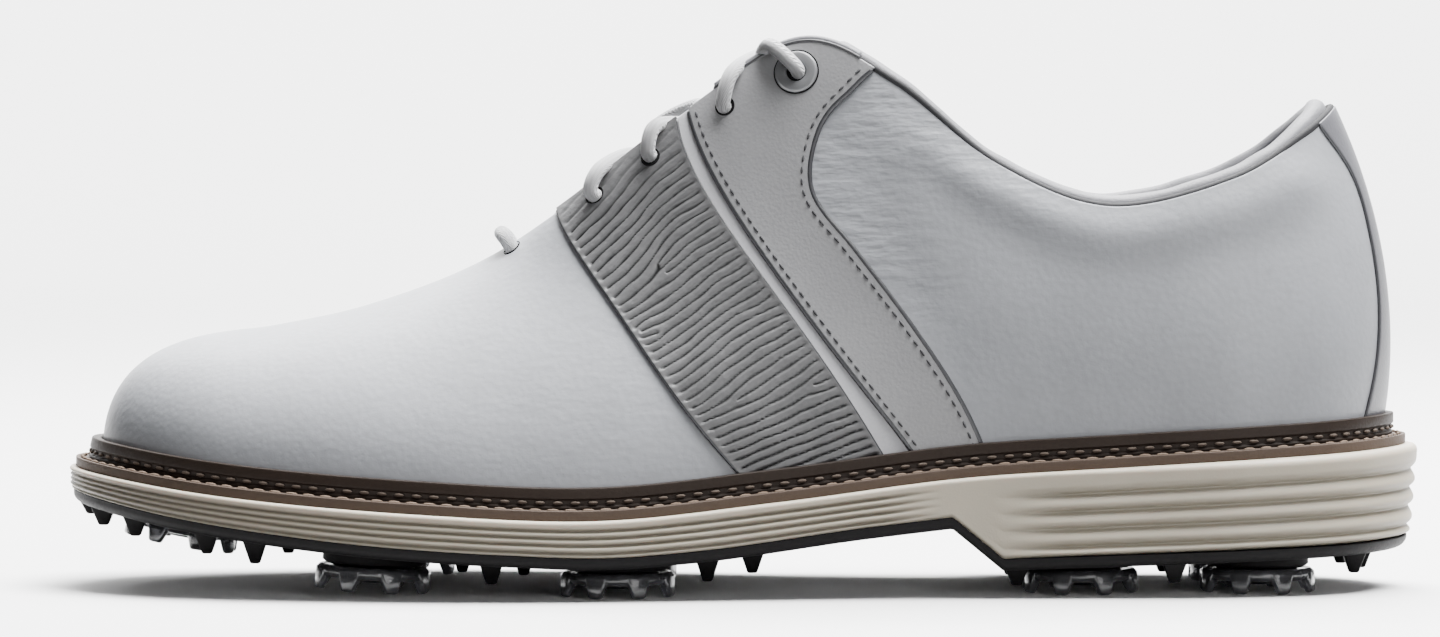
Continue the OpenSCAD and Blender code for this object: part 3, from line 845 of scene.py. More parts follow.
def lay_grid(bm: Mesh, across: int, along: int, place: Place, marks: Marks | None = None) -> None:
    """Adds a grid to a mesh and puts its corners where place says.

    Args:
        bm: The mesh to add to.
        across: Number of cells in the first direction.
        along: Number of cells in the second direction.
        place: Gives points in millimetres for two parameters from 0 to 1.
        marks: Numbers to store on the corners, by attribute name.
    """
    start = len(bm.verts)
    uv = bm.loops.layers.uv.verify()
    made = bmesh.ops.create_grid(bm, x_segments=across, y_segments=along, size=0.5, calc_uvs=True)["verts"]
    flat = np.array([(v.co.x + 0.5, v.co.y + 0.5) for v in made])
    s, t = np.clip(flat, 0, 1).T
    points = place(s, t)
    order = np.lexsort((s, np.round(t * along)))
    rows = points[order].reshape(along + 1, across + 1, 3)
    run = np.zeros((along + 1, across + 1))
    rise = np.zeros((along + 1, across + 1))
    run[:, 1:] = np.cumsum(np.linalg.norm(np.diff(rows, axis=1), axis=2), axis=1)
    rise[1:, :] = np.cumsum(np.linalg.norm(np.diff(rows, axis=0), axis=2), axis=0)
    lengths = np.empty((len(made), 2))
    lengths[order] = np.stack([run.ravel(), rise.ravel()], axis=1) * MM
    layers = {key: bm.verts.layers.float.get(key) or bm.verts.layers.float.new(key) for key in (marks or {})}
    stored = {key: mark(s, t) for key, mark in (marks or {}).items()}
    bm.verts.ensure_lookup_table()
    fresh = [bm.verts[start + i] for i in range(len(made))]
    for i, vert in enumerate(fresh):
        vert.co = Vector(points[i] * MM)
        for key, layer in layers.items():
            vert[layer] = float(stored[key][i])
    index = {vert: i for i, vert in enumerate(fresh)}
    for face in {face for vert in fresh for face in vert.link_faces}:
        for loop in face.loops:
            loop[uv].uv = lengths[index[loop.vert]]


def face_out(bm: Mesh, height: float = 50.0) -> None:
    """Turns an open shell so that most of its faces look away from the shoe's long axis.

    Args:
        bm: The mesh.
        height: Height of that axis, in millimetres.
    """
    bm.normal_update()
    vote = 0.0
    for face in bm.faces:
        middle = face.calc_center_median()
        vote += face.normal.dot(Vector((0, middle.y, middle.z - height * MM))) * face.calc_area()
    if vote < 0:
        bmesh.ops.reverse_faces(bm, faces=bm.faces)


def weld(bm: Mesh, reach: float = 2e-6) -> None:
    """Merges corners that share a place and drops faces that shrank to nothing."""
    bmesh.ops.remove_doubles(bm, verts=bm.verts, dist=reach)
    bmesh.ops.dissolve_degenerate(bm, edges=bm.edges, dist=reach)


def make_piece(
    name: str,
    bm: Mesh,
    finishes: Sequence[str],
    body: str = SHOE,
    closed: bool = True,
    *,
    nodes: Sequence[str] = (),
) -> Piece:
    """Turns a mesh into an object of the shoe that rides on a body.

    Args:
        name: Name of the piece.
        bm: Its mesh, which is used up.
        finishes: Names of its finishes, the first for most of it.
        body: The body it rides on.
        closed: Whether to turn all faces outwards as a closed solid.
        nodes: The CAD nodes that it stands for.

    Returns:
        The object.
    """
    if closed:
        bmesh.ops.recalc_face_normals(bm, faces=bm.faces)
    mesh = bpy.data.meshes.new(name)
    bm.to_mesh(mesh)
    bm.free()
    for finish in finishes:
        mesh.materials.append(FINISHES.get(finish))
    mesh.polygons.foreach_set("use_smooth", [True] * len(mesh.polygons))
    piece = bpy.data.objects.new(name, mesh)
    bpy.context.scene.collection.objects.link(piece)
    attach(piece, body)
    if nodes:
        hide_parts(*nodes)
    LOG.info("made %s with %d faces", name, len(mesh.polygons))
    return piece


def thicken(piece: Piece, thickness: float, rim: int = 0, round_edge: float = 0.0) -> None:
    """Gives a sheet its thickness on its inner side, and rounds its cut edges.

    Args:
        piece: The sheet.
        thickness: Thickness in millimetres.
        rim: How many material slots after a face's own its edge uses.
        round_edge: Radius of the rounded edge in millimetres, or 0.
    """
    solid = piece.modifiers.new("thickness", "SOLIDIFY")
    solid.thickness = thickness * MM
    solid.offset = -1
    solid.material_offset_rim = rim
    if round_edge:
        bevel = piece.modifiers.new("round_edge", "BEVEL")
        bevel.width = round_edge * MM
        bevel.segments = 3
        bevel.limit_method = "ANGLE"
        bevel.angle_limit = math.radians(50)
        bevel.material = 0


def lathe(bm: Mesh, profile: Sequence[Pair], steps: int, matrix: Matrix | None = None) -> None:
    """Spins a profile of (radius, height) in millimetres round Z.

    Args:
        bm: The mesh to add to.
        profile: The profile from one end to the other; ends on the axis close the form.
        steps: Steps in the full turn.
        matrix: Where to put the form, in metres.
    """
    own = bmesh.new()
    chain = [own.verts.new((r * MM, 0, z * MM)) for r, z in profile]
    edges = [own.edges.new(pair) for pair in zip(chain, chain[1:])]
    bmesh.ops.spin(
        own, geom=chain + edges, cent=(0, 0, 0), axis=(0, 0, 1), angle=math.tau, steps=steps, use_merge=True
    )
    bmesh.ops.remove_doubles(own, verts=own.verts, dist=1e-7)
    bmesh.ops.recalc_face_normals(own, faces=own.faces)
    absorb(bm, own, matrix or Matrix.Identity(4))


def absorb(bm: Mesh, other: Mesh, matrix: Matrix) -> None:
    """Adds a turned and moved copy of one mesh to another, and frees the first."""
    bmesh.ops.transform(other, matrix=matrix, verts=other.verts)
    holder = bpy.data.meshes.new("holder")
    other.to_mesh(holder)
    other.free()
    bm.from_mesh(holder)
    bpy.data.meshes.remove(holder)


def block(bm: Mesh, low: Triple, high: Triple, taper: float, bevel: float, matrix: Matrix) -> None:
    """Adds a bevelled block that narrows towards its lower end.

    Args:
        bm: The mesh to add to.
        low: Lowest corner in millimetres.
        high: Highest corner in millimetres.
        taper: Width of the lower end as a share of the upper.
        bevel: Bevel width in millimetres.
        matrix: Where to put it, in metres.
    """
    own = bmesh.new()
    bmesh.ops.create_cube(own, size=1.0)
    size = (Vector(high) - Vector(low)) * MM
    middle = (Vector(high) + Vector(low)) * 0.5 * MM
    for vert in own.verts:
        narrow = taper if vert.co.z < 0 else 1.0
        x, y, z = vert.co
        vert.co = Vector((x * size.x * narrow, y * size.y * narrow, z * size.z)) + middle
    bmesh.ops.bevel(
        own, geom=own.edges, offset=bevel * MM, segments=2, profile=0.5,
        affect="EDGES", material=-1, clamp_overlap=True,
    )
    absorb(bm, own, matrix)


def toward(direction: Vector, spot: Vector) -> Matrix:
    """Matrix that turns +Z to a direction and moves the origin to a spot."""
    return Matrix.Translation(spot) @ direction.to_track_quat("Z", "Y").to_matrix().to_4x4()


def even_points(path: Array, normals: Array, pitch: float) -> tuple[Array, Array, Array]:
    """Spaces points evenly along a path.

    Args:
        path: Points of the path.
        normals: Surface normals at those points.
        pitch: Distance between the new points.

    Returns:
        The new points, the path's direction there and the normals there.
    """
    lengths = np.concatenate(([0], np.cumsum(np.linalg.norm(np.diff(path, axis=0), axis=1))))
    count = max(int(lengths[-1] / pitch), 2)
    marks = (np.arange(count) + 0.5) * lengths[-1] / count
    points = np.stack([np.interp(marks, lengths, path[:, k]) for k in range(3)], axis=1)
    ahead = np.stack([np.interp(marks + pitch * 0.3, lengths, path[:, k]) for k in range(3)], axis=1)
    behind = np.stack([np.interp(marks - pitch * 0.3, lengths, path[:, k]) for k in range(3)], axis=1)
    up = np.stack([np.interp(marks, lengths, normals[:, k]) for k in range(3)], axis=1)
    return points, unit(ahead - behind), unit(up)


@dataclass
class StitchRow:
    """A row of thread stitches laid on a surface, in millimetres."""

    pitch: float
    length: float
    thick: float
    slant: float = 0.0

    def sew(self, bm: Mesh, path: Array, normals: Array) -> int:
        """Adds the stitches to a mesh.

        Args:
            bm: The mesh to add to.
            path: Points of the seam.
            normals: Surface normals along it.

        Returns:
            The number of stitches.
        """
        points, ways, ups = even_points(path, normals, self.pitch)
        for point, way, up in zip(points, ways, ups):
            side = np.cross(up, way)
            way = unit(way + side * self.slant)
            side = unit(np.cross(up, way))
            arms = [way * self.length / 2, side * self.thick / 2, up * self.thick / 2]
            axes = Matrix(np.stack(arms, axis=1).tolist())
            matrix = Matrix.Translation(Vector(point * MM)) @ (axes * MM).to_4x4()
            bmesh.ops.create_uvsphere(bm, u_segments=8, v_segments=5, radius=1.0, matrix=matrix)
        return len(points)


def rounded(corners: Sequence[Pair], radius: float, steps: int = 3) -> Array:
    """Rounds the corners of a closed outline.

    Args:
        corners: Corners of the outline, in millimetres.
        radius: How far from each corner the rounding starts.
        steps: Pieces in each rounded corner.

    Returns:
        The outline's points, with the first repeated at the end.
    """
    outline = []
    count = len(corners)
    for i, corner in enumerate(corners):
        here = np.array(corner, float)
        before = np.array(corners[i - 1], float) - here
        after = np.array(corners[(i + 1) % count], float) - here
        reach = min(radius, 0.45 * np.linalg.norm(before), 0.45 * np.linalg.norm(after))
        start = here + unit(before) * reach
        end = here + unit(after) * reach
        for t in np.linspace(0, 1, steps + 1):
            outline.append((1 - t) ** 2 * start + 2 * t * (1 - t) * here + t * t * end)
    outline.append(outline[0])
    return np.array(outline)


def pick_row(table: Array, t: Array) -> Array:
    """Points of a polyline at parameters from 0 to 1, counted by its points."""
    marks = np.linspace(0, 1, len(table))
    return np.stack([np.interp(t, marks, table[:, k]) for k in range(table.shape[1])], axis=-1)


def lay_slab(
    bm: Mesh, side: Place, turns: int, rows: int, fill: int = 12, marks: Marks | None = None
) -> None:
    """Adds a closed slab whose rim follows the sole.

    Args:
        bm: The mesh to add to.
        side: Gives the rim's points for a column w and a row from 0, below, to 1, above.
        turns: Cells from toe to heel.
        rows: Cells up the rim.
        fill: Cells across the upper and the lower face.
        marks: Numbers to store on the rim's corners, for the same two parameters.
    """
    turned = {
        key: (lambda s, t, mark=mark: mark(HEEL * (2 * s - 1), t)) for key, mark in (marks or {}).items()
    }
    lay_grid(bm, 2 * turns, rows, lambda s, t: side(HEEL * (2 * s - 1), t), turned)
    for level in (0.0, 1.0):

        def cover(s: Array, t: Array, level: float = level) -> Array:
            """Points straight across from the lateral to the medial rim."""
            edge = np.full_like(s, level)
            return side(-HEEL * s, edge) * (1 - t[:, None]) + side(HEEL * s, edge) * t[:, None]

        lay_grid(bm, turns, fill, cover)
    weld(bm)


def lay_ring(bm: Mesh, section: Array, turns: int, put: Callable[[Array, Array, Array], Array]) -> None:
    """Adds a closed strip that runs all round the foot line.

    Args:
        bm: The mesh to add to.
        section: Closed outline of (out, rise) in millimetres.
        turns: Cells round the shoe.
        put: Gives points for columns, outs and rises.
    """

    def place(s: Array, t: Array) -> Array:
        """Points of the strip."""
        q = pick_row(section, t)
        return put(HEEL * (2 * s - 1), q[:, 0], q[:, 1])

    lay_grid(bm, turns, len(section) - 1, place)
    weld(bm)


# ---------------------------------------------------------------- the sole


@dataclass
class Sole:
    """Midsole, welt, storm welt, their stitching and the outsole, in millimetres."""

    grooves: tuple[float, ...] = (0.27, 0.47, 0.67, 0.88)
    groove_depth: float = 0.6
    groove_half_width: float = 0.4
    lip_depth: float = 1.25
    welt_out: float = 6.1
    welt_in: float = 4.7
    storm_height: float = 4.9
    boss_radius: float = 11.5
    mid_out: float = 8.25
    flare: float = 0.75
    heel_blend: Pair = (54, 74)
    front_blend: Pair = (28, 44)
    taper_blend: Pair = (60, 150)
    heel_taper: float = 1.6
    seat_gap: float = 0.3
    ring_turns: int = 520
    turns: int = 220
    lugs: tuple[Triple, ...] = (
        (-149, 4, 4), (-145, -9, 5), (-139, 22, 4.5), (-137, -17, 5.5), (-120, -28, 6),
        (-109, -31, 6.5), (-112, 29, 6), (-104, 4, 6),
        (-64, 0, 6.5), (-56, -38, 6), (-56, 36, 6), (-50, 0, 6.5), (-8, -32, 6.5), (-8, 26, 6.5),
        (2, -30, 6), (2, 24, 6), (61, -32, 5), (61, 31, 5), (61, 0, 5), (96, -34, 5.5), (96, 33, 5.5),
        (96, 0, 5.5), (138, -15, 6), (138, 15, 6), (141, 0, 6),
    )

    def midsole_out(self, x: Array) -> Array:
        """How far the midsole stands out from the foot line at x."""
        return self.mid_out + self.flare * x / HEEL_BACK[0]

    def relief(self, x: Array, t: Array) -> tuple[Array, Array]:
        """Depth of the ribs' hollows at height share t, and how much painted shade each gets.

        Args:
            x: Places along the shoe.
            t: Share of the side's height, 0 below and 1 above.

        Returns:
            Depth in millimetres, and painted shade from 0 to 1.
        """
        height = sole_top(x) - sole_low(x)
        down = 1 - t
        heel = smooth_step(*self.heel_blend, x)
        thin = np.zeros_like(x)
        for centre in self.grooves:
            thin += np.exp(-(((down - centre) * height / self.groove_half_width) ** 2))
        lips = np.array([0.0, *self.grooves, 1.0])
        band = np.clip(np.searchsorted(lips, down, side="right") - 1, 0, len(lips) - 2)
        share = (down - lips[band]) / (lips[band + 1] - lips[band])
        lobe = np.sin(np.pi * np.clip(share, 0, 1) ** 1.5) ** 0.75
        hollow = 1 - lobe
        hollow = np.where(band == 0, np.where(share > 0.6, hollow, 0.0), hollow)
        front = 1 - smooth_step(*self.front_blend, x)
        depth = front * self.groove_depth * thin + heel * self.lip_depth * hollow
        # Painted shade: full in the forefoot grooves, half in the heel's hollows under each rib lip.
        painted_shade = np.clip(front * thin + heel * hollow * 0.5, 0, 1)
        return depth, painted_shade

    def midsole_side(self, w: Array, t: Array) -> Array:
        """Points of the midsole's rim."""
        x = LAST.control(0, w)[..., 0]
        height = sole_top(x) - sole_low(x)
        depth, _ = self.relief(x, t)
        heel_share = smooth_step(60, 130, x)
        gap = np.minimum(t, 1 - t) * height
        corner = 0.9 + 1.1 * heel_share
        turn_in = corner * (1 - np.sqrt(1 - np.clip((corner - gap) / corner, 0, 1) ** 2))
        taper = self.heel_taper * (1 - t) * smooth_step(*self.taper_blend, x)
        out = self.midsole_out(x) - depth - turn_in - taper
        points = LAST.ring(w, out, sole_top)
        here = points[..., 0]
        points[..., 2] = sole_low(here) + (sole_top(here) - sole_low(here)) * t
        return points

    def build_midsole(self) -> None:
        """Makes the ribbed cream midsole."""
        bm = bmesh.new()
        # Stores the painted shade of the grooves for the foam finish.
        painted_shade = {"groove_shade": lambda w, t: self.relief(LAST.control(0, w)[..., 0], t)[1]}
        lay_slab(bm, self.midsole_side, self.turns, 84, marks=painted_shade)
        make_piece("ribbed_midsole", bm, ["cream_foam"], nodes=["midsole"])

    def outsole_side(self, w: Array, t: Array) -> Array:
        """Points of the outsole skin's rim, rounded under at its lower edge."""
        x = LAST.control(0, w)[..., 0]
        round_under = 1.6 + 0.9 * smooth_step(100, 150, x)
        drop = OUTSOLE_THICK * (1 - t)
        bite = np.clip((drop - OUTSOLE_THICK + round_under) / round_under, 0, 1)
        taper = self.heel_taper * smooth_step(*self.taper_blend, x)
        out = self.midsole_out(x) - 0.9 - taper - round_under * (1 - np.sqrt(1 - np.minimum(bite, 0.98) ** 2))
        return LAST.ring(w, out, lambda at: sole_low(at) - drop)

    def build_outsole(self) -> None:
        """Makes the black outsole skin with its cleat bosses and lugs."""
        bm = bmesh.new()
        lay_slab(bm, self.outsole_side, self.turns, 10, fill=24)
        for cleat in CLEATS:
            seat = (cleat.seat + self.seat_gap) * MM
            under = float(sole_low(np.array(cleat.spot.x / MM))) * MM
            top = max(under - cleat.spot.z - 0.0006, seat + 0.0008) / MM
            low = seat / MM
            profile = [(9.0, top), (9.0, low), (9.4, low), (10.9, low), (self.boss_radius, low + 0.5)]
            profile += [(self.boss_radius, max(top - 1.2, low + 0.6)), (12.6, top), (9.0, top)]
            lathe(bm, profile, 64, cleat.matrix)
        for x, y, height in self.lugs:
            self.add_lug(bm, x, y, height)
        make_piece("outsole_skin", bm, ["black_rubber"], nodes=["outsole"])

    @staticmethod
    def add_lug(bm: Mesh, x: float, y: float, height: float) -> None:
        """Adds one tooth-shaped lug with a flat tip.

        Args:
            bm: The outsole's mesh.
            x: Place along the shoe in millimetres.
            y: Place across the shoe in millimetres.
            height: Height of the lug in millimetres.
        """
        base = float(sole_low(np.array(float(x)))) - 1.0
        own = bmesh.new()
        depth = height + 0.5
        bmesh.ops.create_cone(
            own, cap_ends=True, cap_tris=False, segments=4,
            radius1=1.5 * MM, radius2=4.6 * MM, depth=depth * MM,
        )
        eighth_turn = Matrix.Rotation(math.radians(45), 3, "Z")
        bmesh.ops.rotate(own, verts=own.verts, cent=(0, 0, 0), matrix=eighth_turn)
        bmesh.ops.bevel(
            own, geom=own.edges, offset=0.4 * MM, segments=2, profile=0.5, affect="EDGES", material=-1
        )
        absorb(bm, own, Matrix.Translation(Vector((x, y, base - depth / 2)) * MM))

    def build_welt(self) -> None:
        """Makes the flat welt with its stitch channel and dressed edge."""
        edge, inner = self.welt_out, -self.welt_in
        top, channel = WELT_THICK, WELT_THICK - 0.35
        corners = [(inner, 0), (edge, 0), (edge, top), (edge - 0.7, top), (edge - 0.9, channel)]
        corners += [(edge - 2.0, channel), (edge - 2.2, top), (inner, top)]
        bm = bmesh.new()

        def put(w: Array, out: Array, rise: Array) -> Array:
            """Points of the welt."""
            points = LAST.ring(w, out, sole_top)
            points[..., 2] += rise
            return points

        lay_ring(bm, rounded(corners, 0.35), self.ring_turns, put)
        make_piece("dressed_welt", bm, ["welt_leather"], nodes=["welt"])

    def storm_points(self, w: Array, out: Array, rise: Array) -> Array:
        """Points that stand off the upper's foot by out at a height above the welt."""
        low, high = np.zeros_like(w), np.full_like(w, 0.5)
        base = LAST.surface(w, 0 * w)[..., 2]
        for _ in range(14):
            middle = (low + high) / 2
            under = LAST.surface(w, middle)[..., 2] - base < self.storm_height
            low, high = np.where(under, middle, low), np.where(under, high, middle)
        share = np.clip(rise / self.storm_height, 0, 1)
        points = LAST.surface(w, high * share) + LAST.foot_out(w) * out[..., None]
        points[..., 2] = welt_top(points[..., 0]) + rise
        return points

    def build_storm_welt(self) -> None:
        """Makes the strip that stands up against the upper, with a channel for its stitches."""
        top = self.storm_height
        corners = [(0.3, 0), (3.1, 0), (3.1, 0.7), (2.5, 1.0), (2.5, 2.2), (2.9, 2.5), (2.5, top), (0.3, top)]
        bm = bmesh.new()
        lay_ring(bm, rounded(corners, 0.4), self.ring_turns, self.storm_points)
        make_piece("storm_welt_strip", bm, ["storm_leather"], nodes=["storm_welt"])

    def build_stitching(self) -> None:
        """Sews the two rows of thread round the welt."""
        w = np.linspace(-HEEL, HEEL, 1200)
        flat = LAST.ring(w, np.full_like(w, self.welt_out - 1.45), welt_top)
        up = np.tile((0.0, 0.0, 1.0), (len(w), 1))
        bm = bmesh.new()
        StitchRow(pitch=3.9, length=2.9, thick=0.8, slant=0.12).sew(bm, flat, up)
        make_piece("welt_stitches", bm, ["welt_thread"], nodes=["welt_stitching"])
        standing = self.storm_points(w, np.full_like(w, 2.75), np.full_like(w, 1.6))
        bm = bmesh.new()
        StitchRow(pitch=3.9, length=2.4, thick=0.85).sew(bm, standing, LAST.foot_out(w))
        make_piece("storm_welt_stitches", bm, ["storm_thread"])

    def build(self) -> None:
        """Makes every piece of the sole."""
        self.build_midsole()
        self.build_outsole()
        self.build_welt()
        self.build_storm_welt()
        self.build_stitching()


# ---------------------------------------------------------------- cleats


@dataclass
class Cleat:
    """A soft cleat with a dark core and clear claws, in millimetres round its own axis."""

    number: int
    spot: Vector
    axis: Vector
    seat: float = 5.7
    claws: int = 8
    wrench_holes: int = 6

    @property
    def body(self) -> str:
        """Name of the body the cleat turns with."""
        return f"cleat_{self.number}"

    @property
    def matrix(self) -> Matrix:
        """Matrix from the cleat's own frame, with z = 0 at its claw tips."""
        return toward(self.axis, self.spot)

    def build_core(self) -> None:
        """Makes the hub, stem and wrench sockets."""
        seat = self.seat
        bm = bmesh.new()
        profile = [(0, seat + 4.1), (4.1, seat + 4.1), (4.45, seat + 3.6), (4.45, seat), (8.9, seat)]
        profile += [(9.4, seat - 0.4), (9.4, seat - 1.9), (8.6, seat - 2.3), (6.3, seat - 2.5)]
        profile += [(5.4, 2.3), (4.7, 1.9), (3.2, 1.9), (2.9, 2.4), (0, 2.4)]
        lathe(bm, profile, 48, self.matrix)
        for i in range(self.wrench_holes):
            turn = Matrix.Rotation(math.tau * (i + 0.5) / self.wrench_holes, 4, "Z")
            block(bm, (5.2, -0.6, seat - 3.3), (8.9, 0.6, seat - 2.0), 0.8, 0.25, self.matrix @ turn)
        nodes = [f"{self.body}_core"]
        make_piece(f"{self.body}_hub", bm, ["cleat_core"], self.body, nodes=nodes)

    def build_claws(self) -> None:
        """Makes the clear skirt with its splayed claws."""
        seat = self.seat
        bm = bmesh.new()
        skirt = [(9.5, seat - 0.2), (12.0, seat - 0.2), (12.8, seat - 0.9), (12.6, seat - 2.6)]
        skirt += [(11.4, seat - 2.8), (9.5, seat - 1.8), (9.5, seat - 0.2)]
        lathe(bm, skirt, 64, self.matrix)
        reach = seat - 1.2
        splay = math.radians(14)
        for i in range(self.claws):
            turn = Matrix.Rotation(math.tau * (i + 0.5) / self.claws, 4, "Z")
            root = Matrix.Translation(Vector((11.9, 0, reach)) * MM)
            matrix = self.matrix @ turn @ root @ Matrix.Rotation(-splay, 4, "Y")
            block(bm, (-1.7, -2.7, -reach / math.cos(splay) + 0.3), (1.0, 2.7, 0.4), 0.55, 0.5, matrix)
        nodes = [f"{self.body}_claws"]
        make_piece(f"{self.body}_claw_ring", bm, ["clear_claw"], self.body, nodes=nodes)

    def build(self) -> None:
        """Makes both pieces of the cleat."""
        self.build_core()
        self.build_claws()


def read_cleats() -> list[Cleat]:
    """Reads every cleat's place and axis from the frame's joints."""
    cleats = []
    for joint in frame["record"]["behaviour"]["joints"]:
        if joint["child"].startswith("cleat_"):
            number = int(joint["child"].split("_")[1])
            cleats.append(Cleat(number, Vector(joint["pos_m"]), Vector(joint["axis"]).normalized()))
    return cleats


CLEATS = read_cleats()

# ---------------------------------------------------------------- the upper


@dataclass
class Panel:
    """A leather panel of the upper, between two edges given as columns for each row."""

    name: str
    nodes: tuple[str, ...]
    slot: str
    finish: str
    start: Edge
    end: Edge
    across: int
    along: int
    out: float = 0.0
    thickness: float = 1.3
    side: Side | None = None
    low: float = 0.0
    high: float = 1.0
    relief: Callable[[Array, Array, Array], Array] | None = None
    marks: Marks = field(default_factory=dict)
    edge_radius: float = 0.35

    def column_row(self, s: Array, t: Array) -> tuple[Array, Array]:
        """Columns and rows of the last for the panel's own two parameters."""
        v = self.low + (self.high - self.low) * t
        w = self.start(v) + (self.end(v) - self.start(v)) * s
        return (-w if self.side is Side.LATERAL else w), v

    def place(self, s: Array, t: Array) -> Array:
        """Points of the panel's outer face."""
        w, v = self.column_row(s, t)
        out = np.full_like(s, self.out)
        if self.relief:
            out = out + self.relief(w, v, LAST.surface(w, v))
        return LAST.at(w, v, out)

    def build(self) -> Piece:
        """Makes the panel.

        Returns:
            Its object.
        """
        marks = {
            key: (lambda s, t, mark=mark: mark(*self.column_row(s, t))) for key, mark in self.marks.items()
        }
        bm = bmesh.new()
        lay_grid(bm, self.across, self.along, self.place, marks)
        weld(bm)
        face_out(bm)
        finishes = [self.finish, "cut_edge"]
        piece = make_piece(self.name, bm, finishes, closed=False, nodes=self.nodes)
        thicken(piece, self.thickness, rim=1, round_edge=self.edge_radius)
        return piece


def fixed(value: float) -> Edge:
    """An edge that stays on one column."""
    return lambda v: np.full_like(v, value)


def shifted(edge: Edge, distance: float) -> Edge:
    """An edge moved along the surface by a distance in millimetres, towards the heel."""

    def moved(v: Array) -> Array:
        """Columns of the moved edge."""
        w = edge(v)
        run = LAST.surface(w + PROBE, v) - LAST.surface(w - PROBE, v)
        scale = np.linalg.norm(run, axis=-1) / (2 * PROBE)
        return w + distance / scale

    return moved


class RidgePattern:
    """Ridges that fan out across the saddle band, with places where two of them merge."""

    PITCH = 2.3
    CENTRE = (-174.0, -53.0)
    RADIUS = 218.0

    def __init__(self, seed: int) -> None:
        """Draws where ridges merge or split.

        Args:
            seed: Seed of the random draws.
        """
        rng = np.random.default_rng(seed)
        self.wander = Ripples(seed + 1, 34)
        self.waver = Ripples(seed + 2, 10)
        self.centres = np.stack([rng.uniform(-28, 44, 11), rng.uniform(34, 82, 11)], axis=1)
        self.turns = rng.choice([-1.0, 1.0], 11)

    def crest(self, points: Array) -> Array:
        """Height of the ridges, 0 in a valley and 1 on a crest."""
        x, z = points[..., 0], points[..., 2]
        fan = np.arctan2(z - self.CENTRE[1], x - self.CENTRE[0]) * self.RADIUS
        phase = fan / self.PITCH + 0.3 * self.wander(points) + 0.07 * self.waver(points)
        for (p, q), turn in zip(self.centres, self.turns):
            phase = phase + turn * np.arctan2(z - q, x - p) / (2 * np.pi)
        share = phase - np.floor(phase)
        valley = np.minimum(share, 1 - share) * self.PITCH
        width = 0.34 + 0.07 * self.waver(points * 1.7)
        return 1 - np.exp(-((valley / np.maximum(width, 0.2)) ** 2))


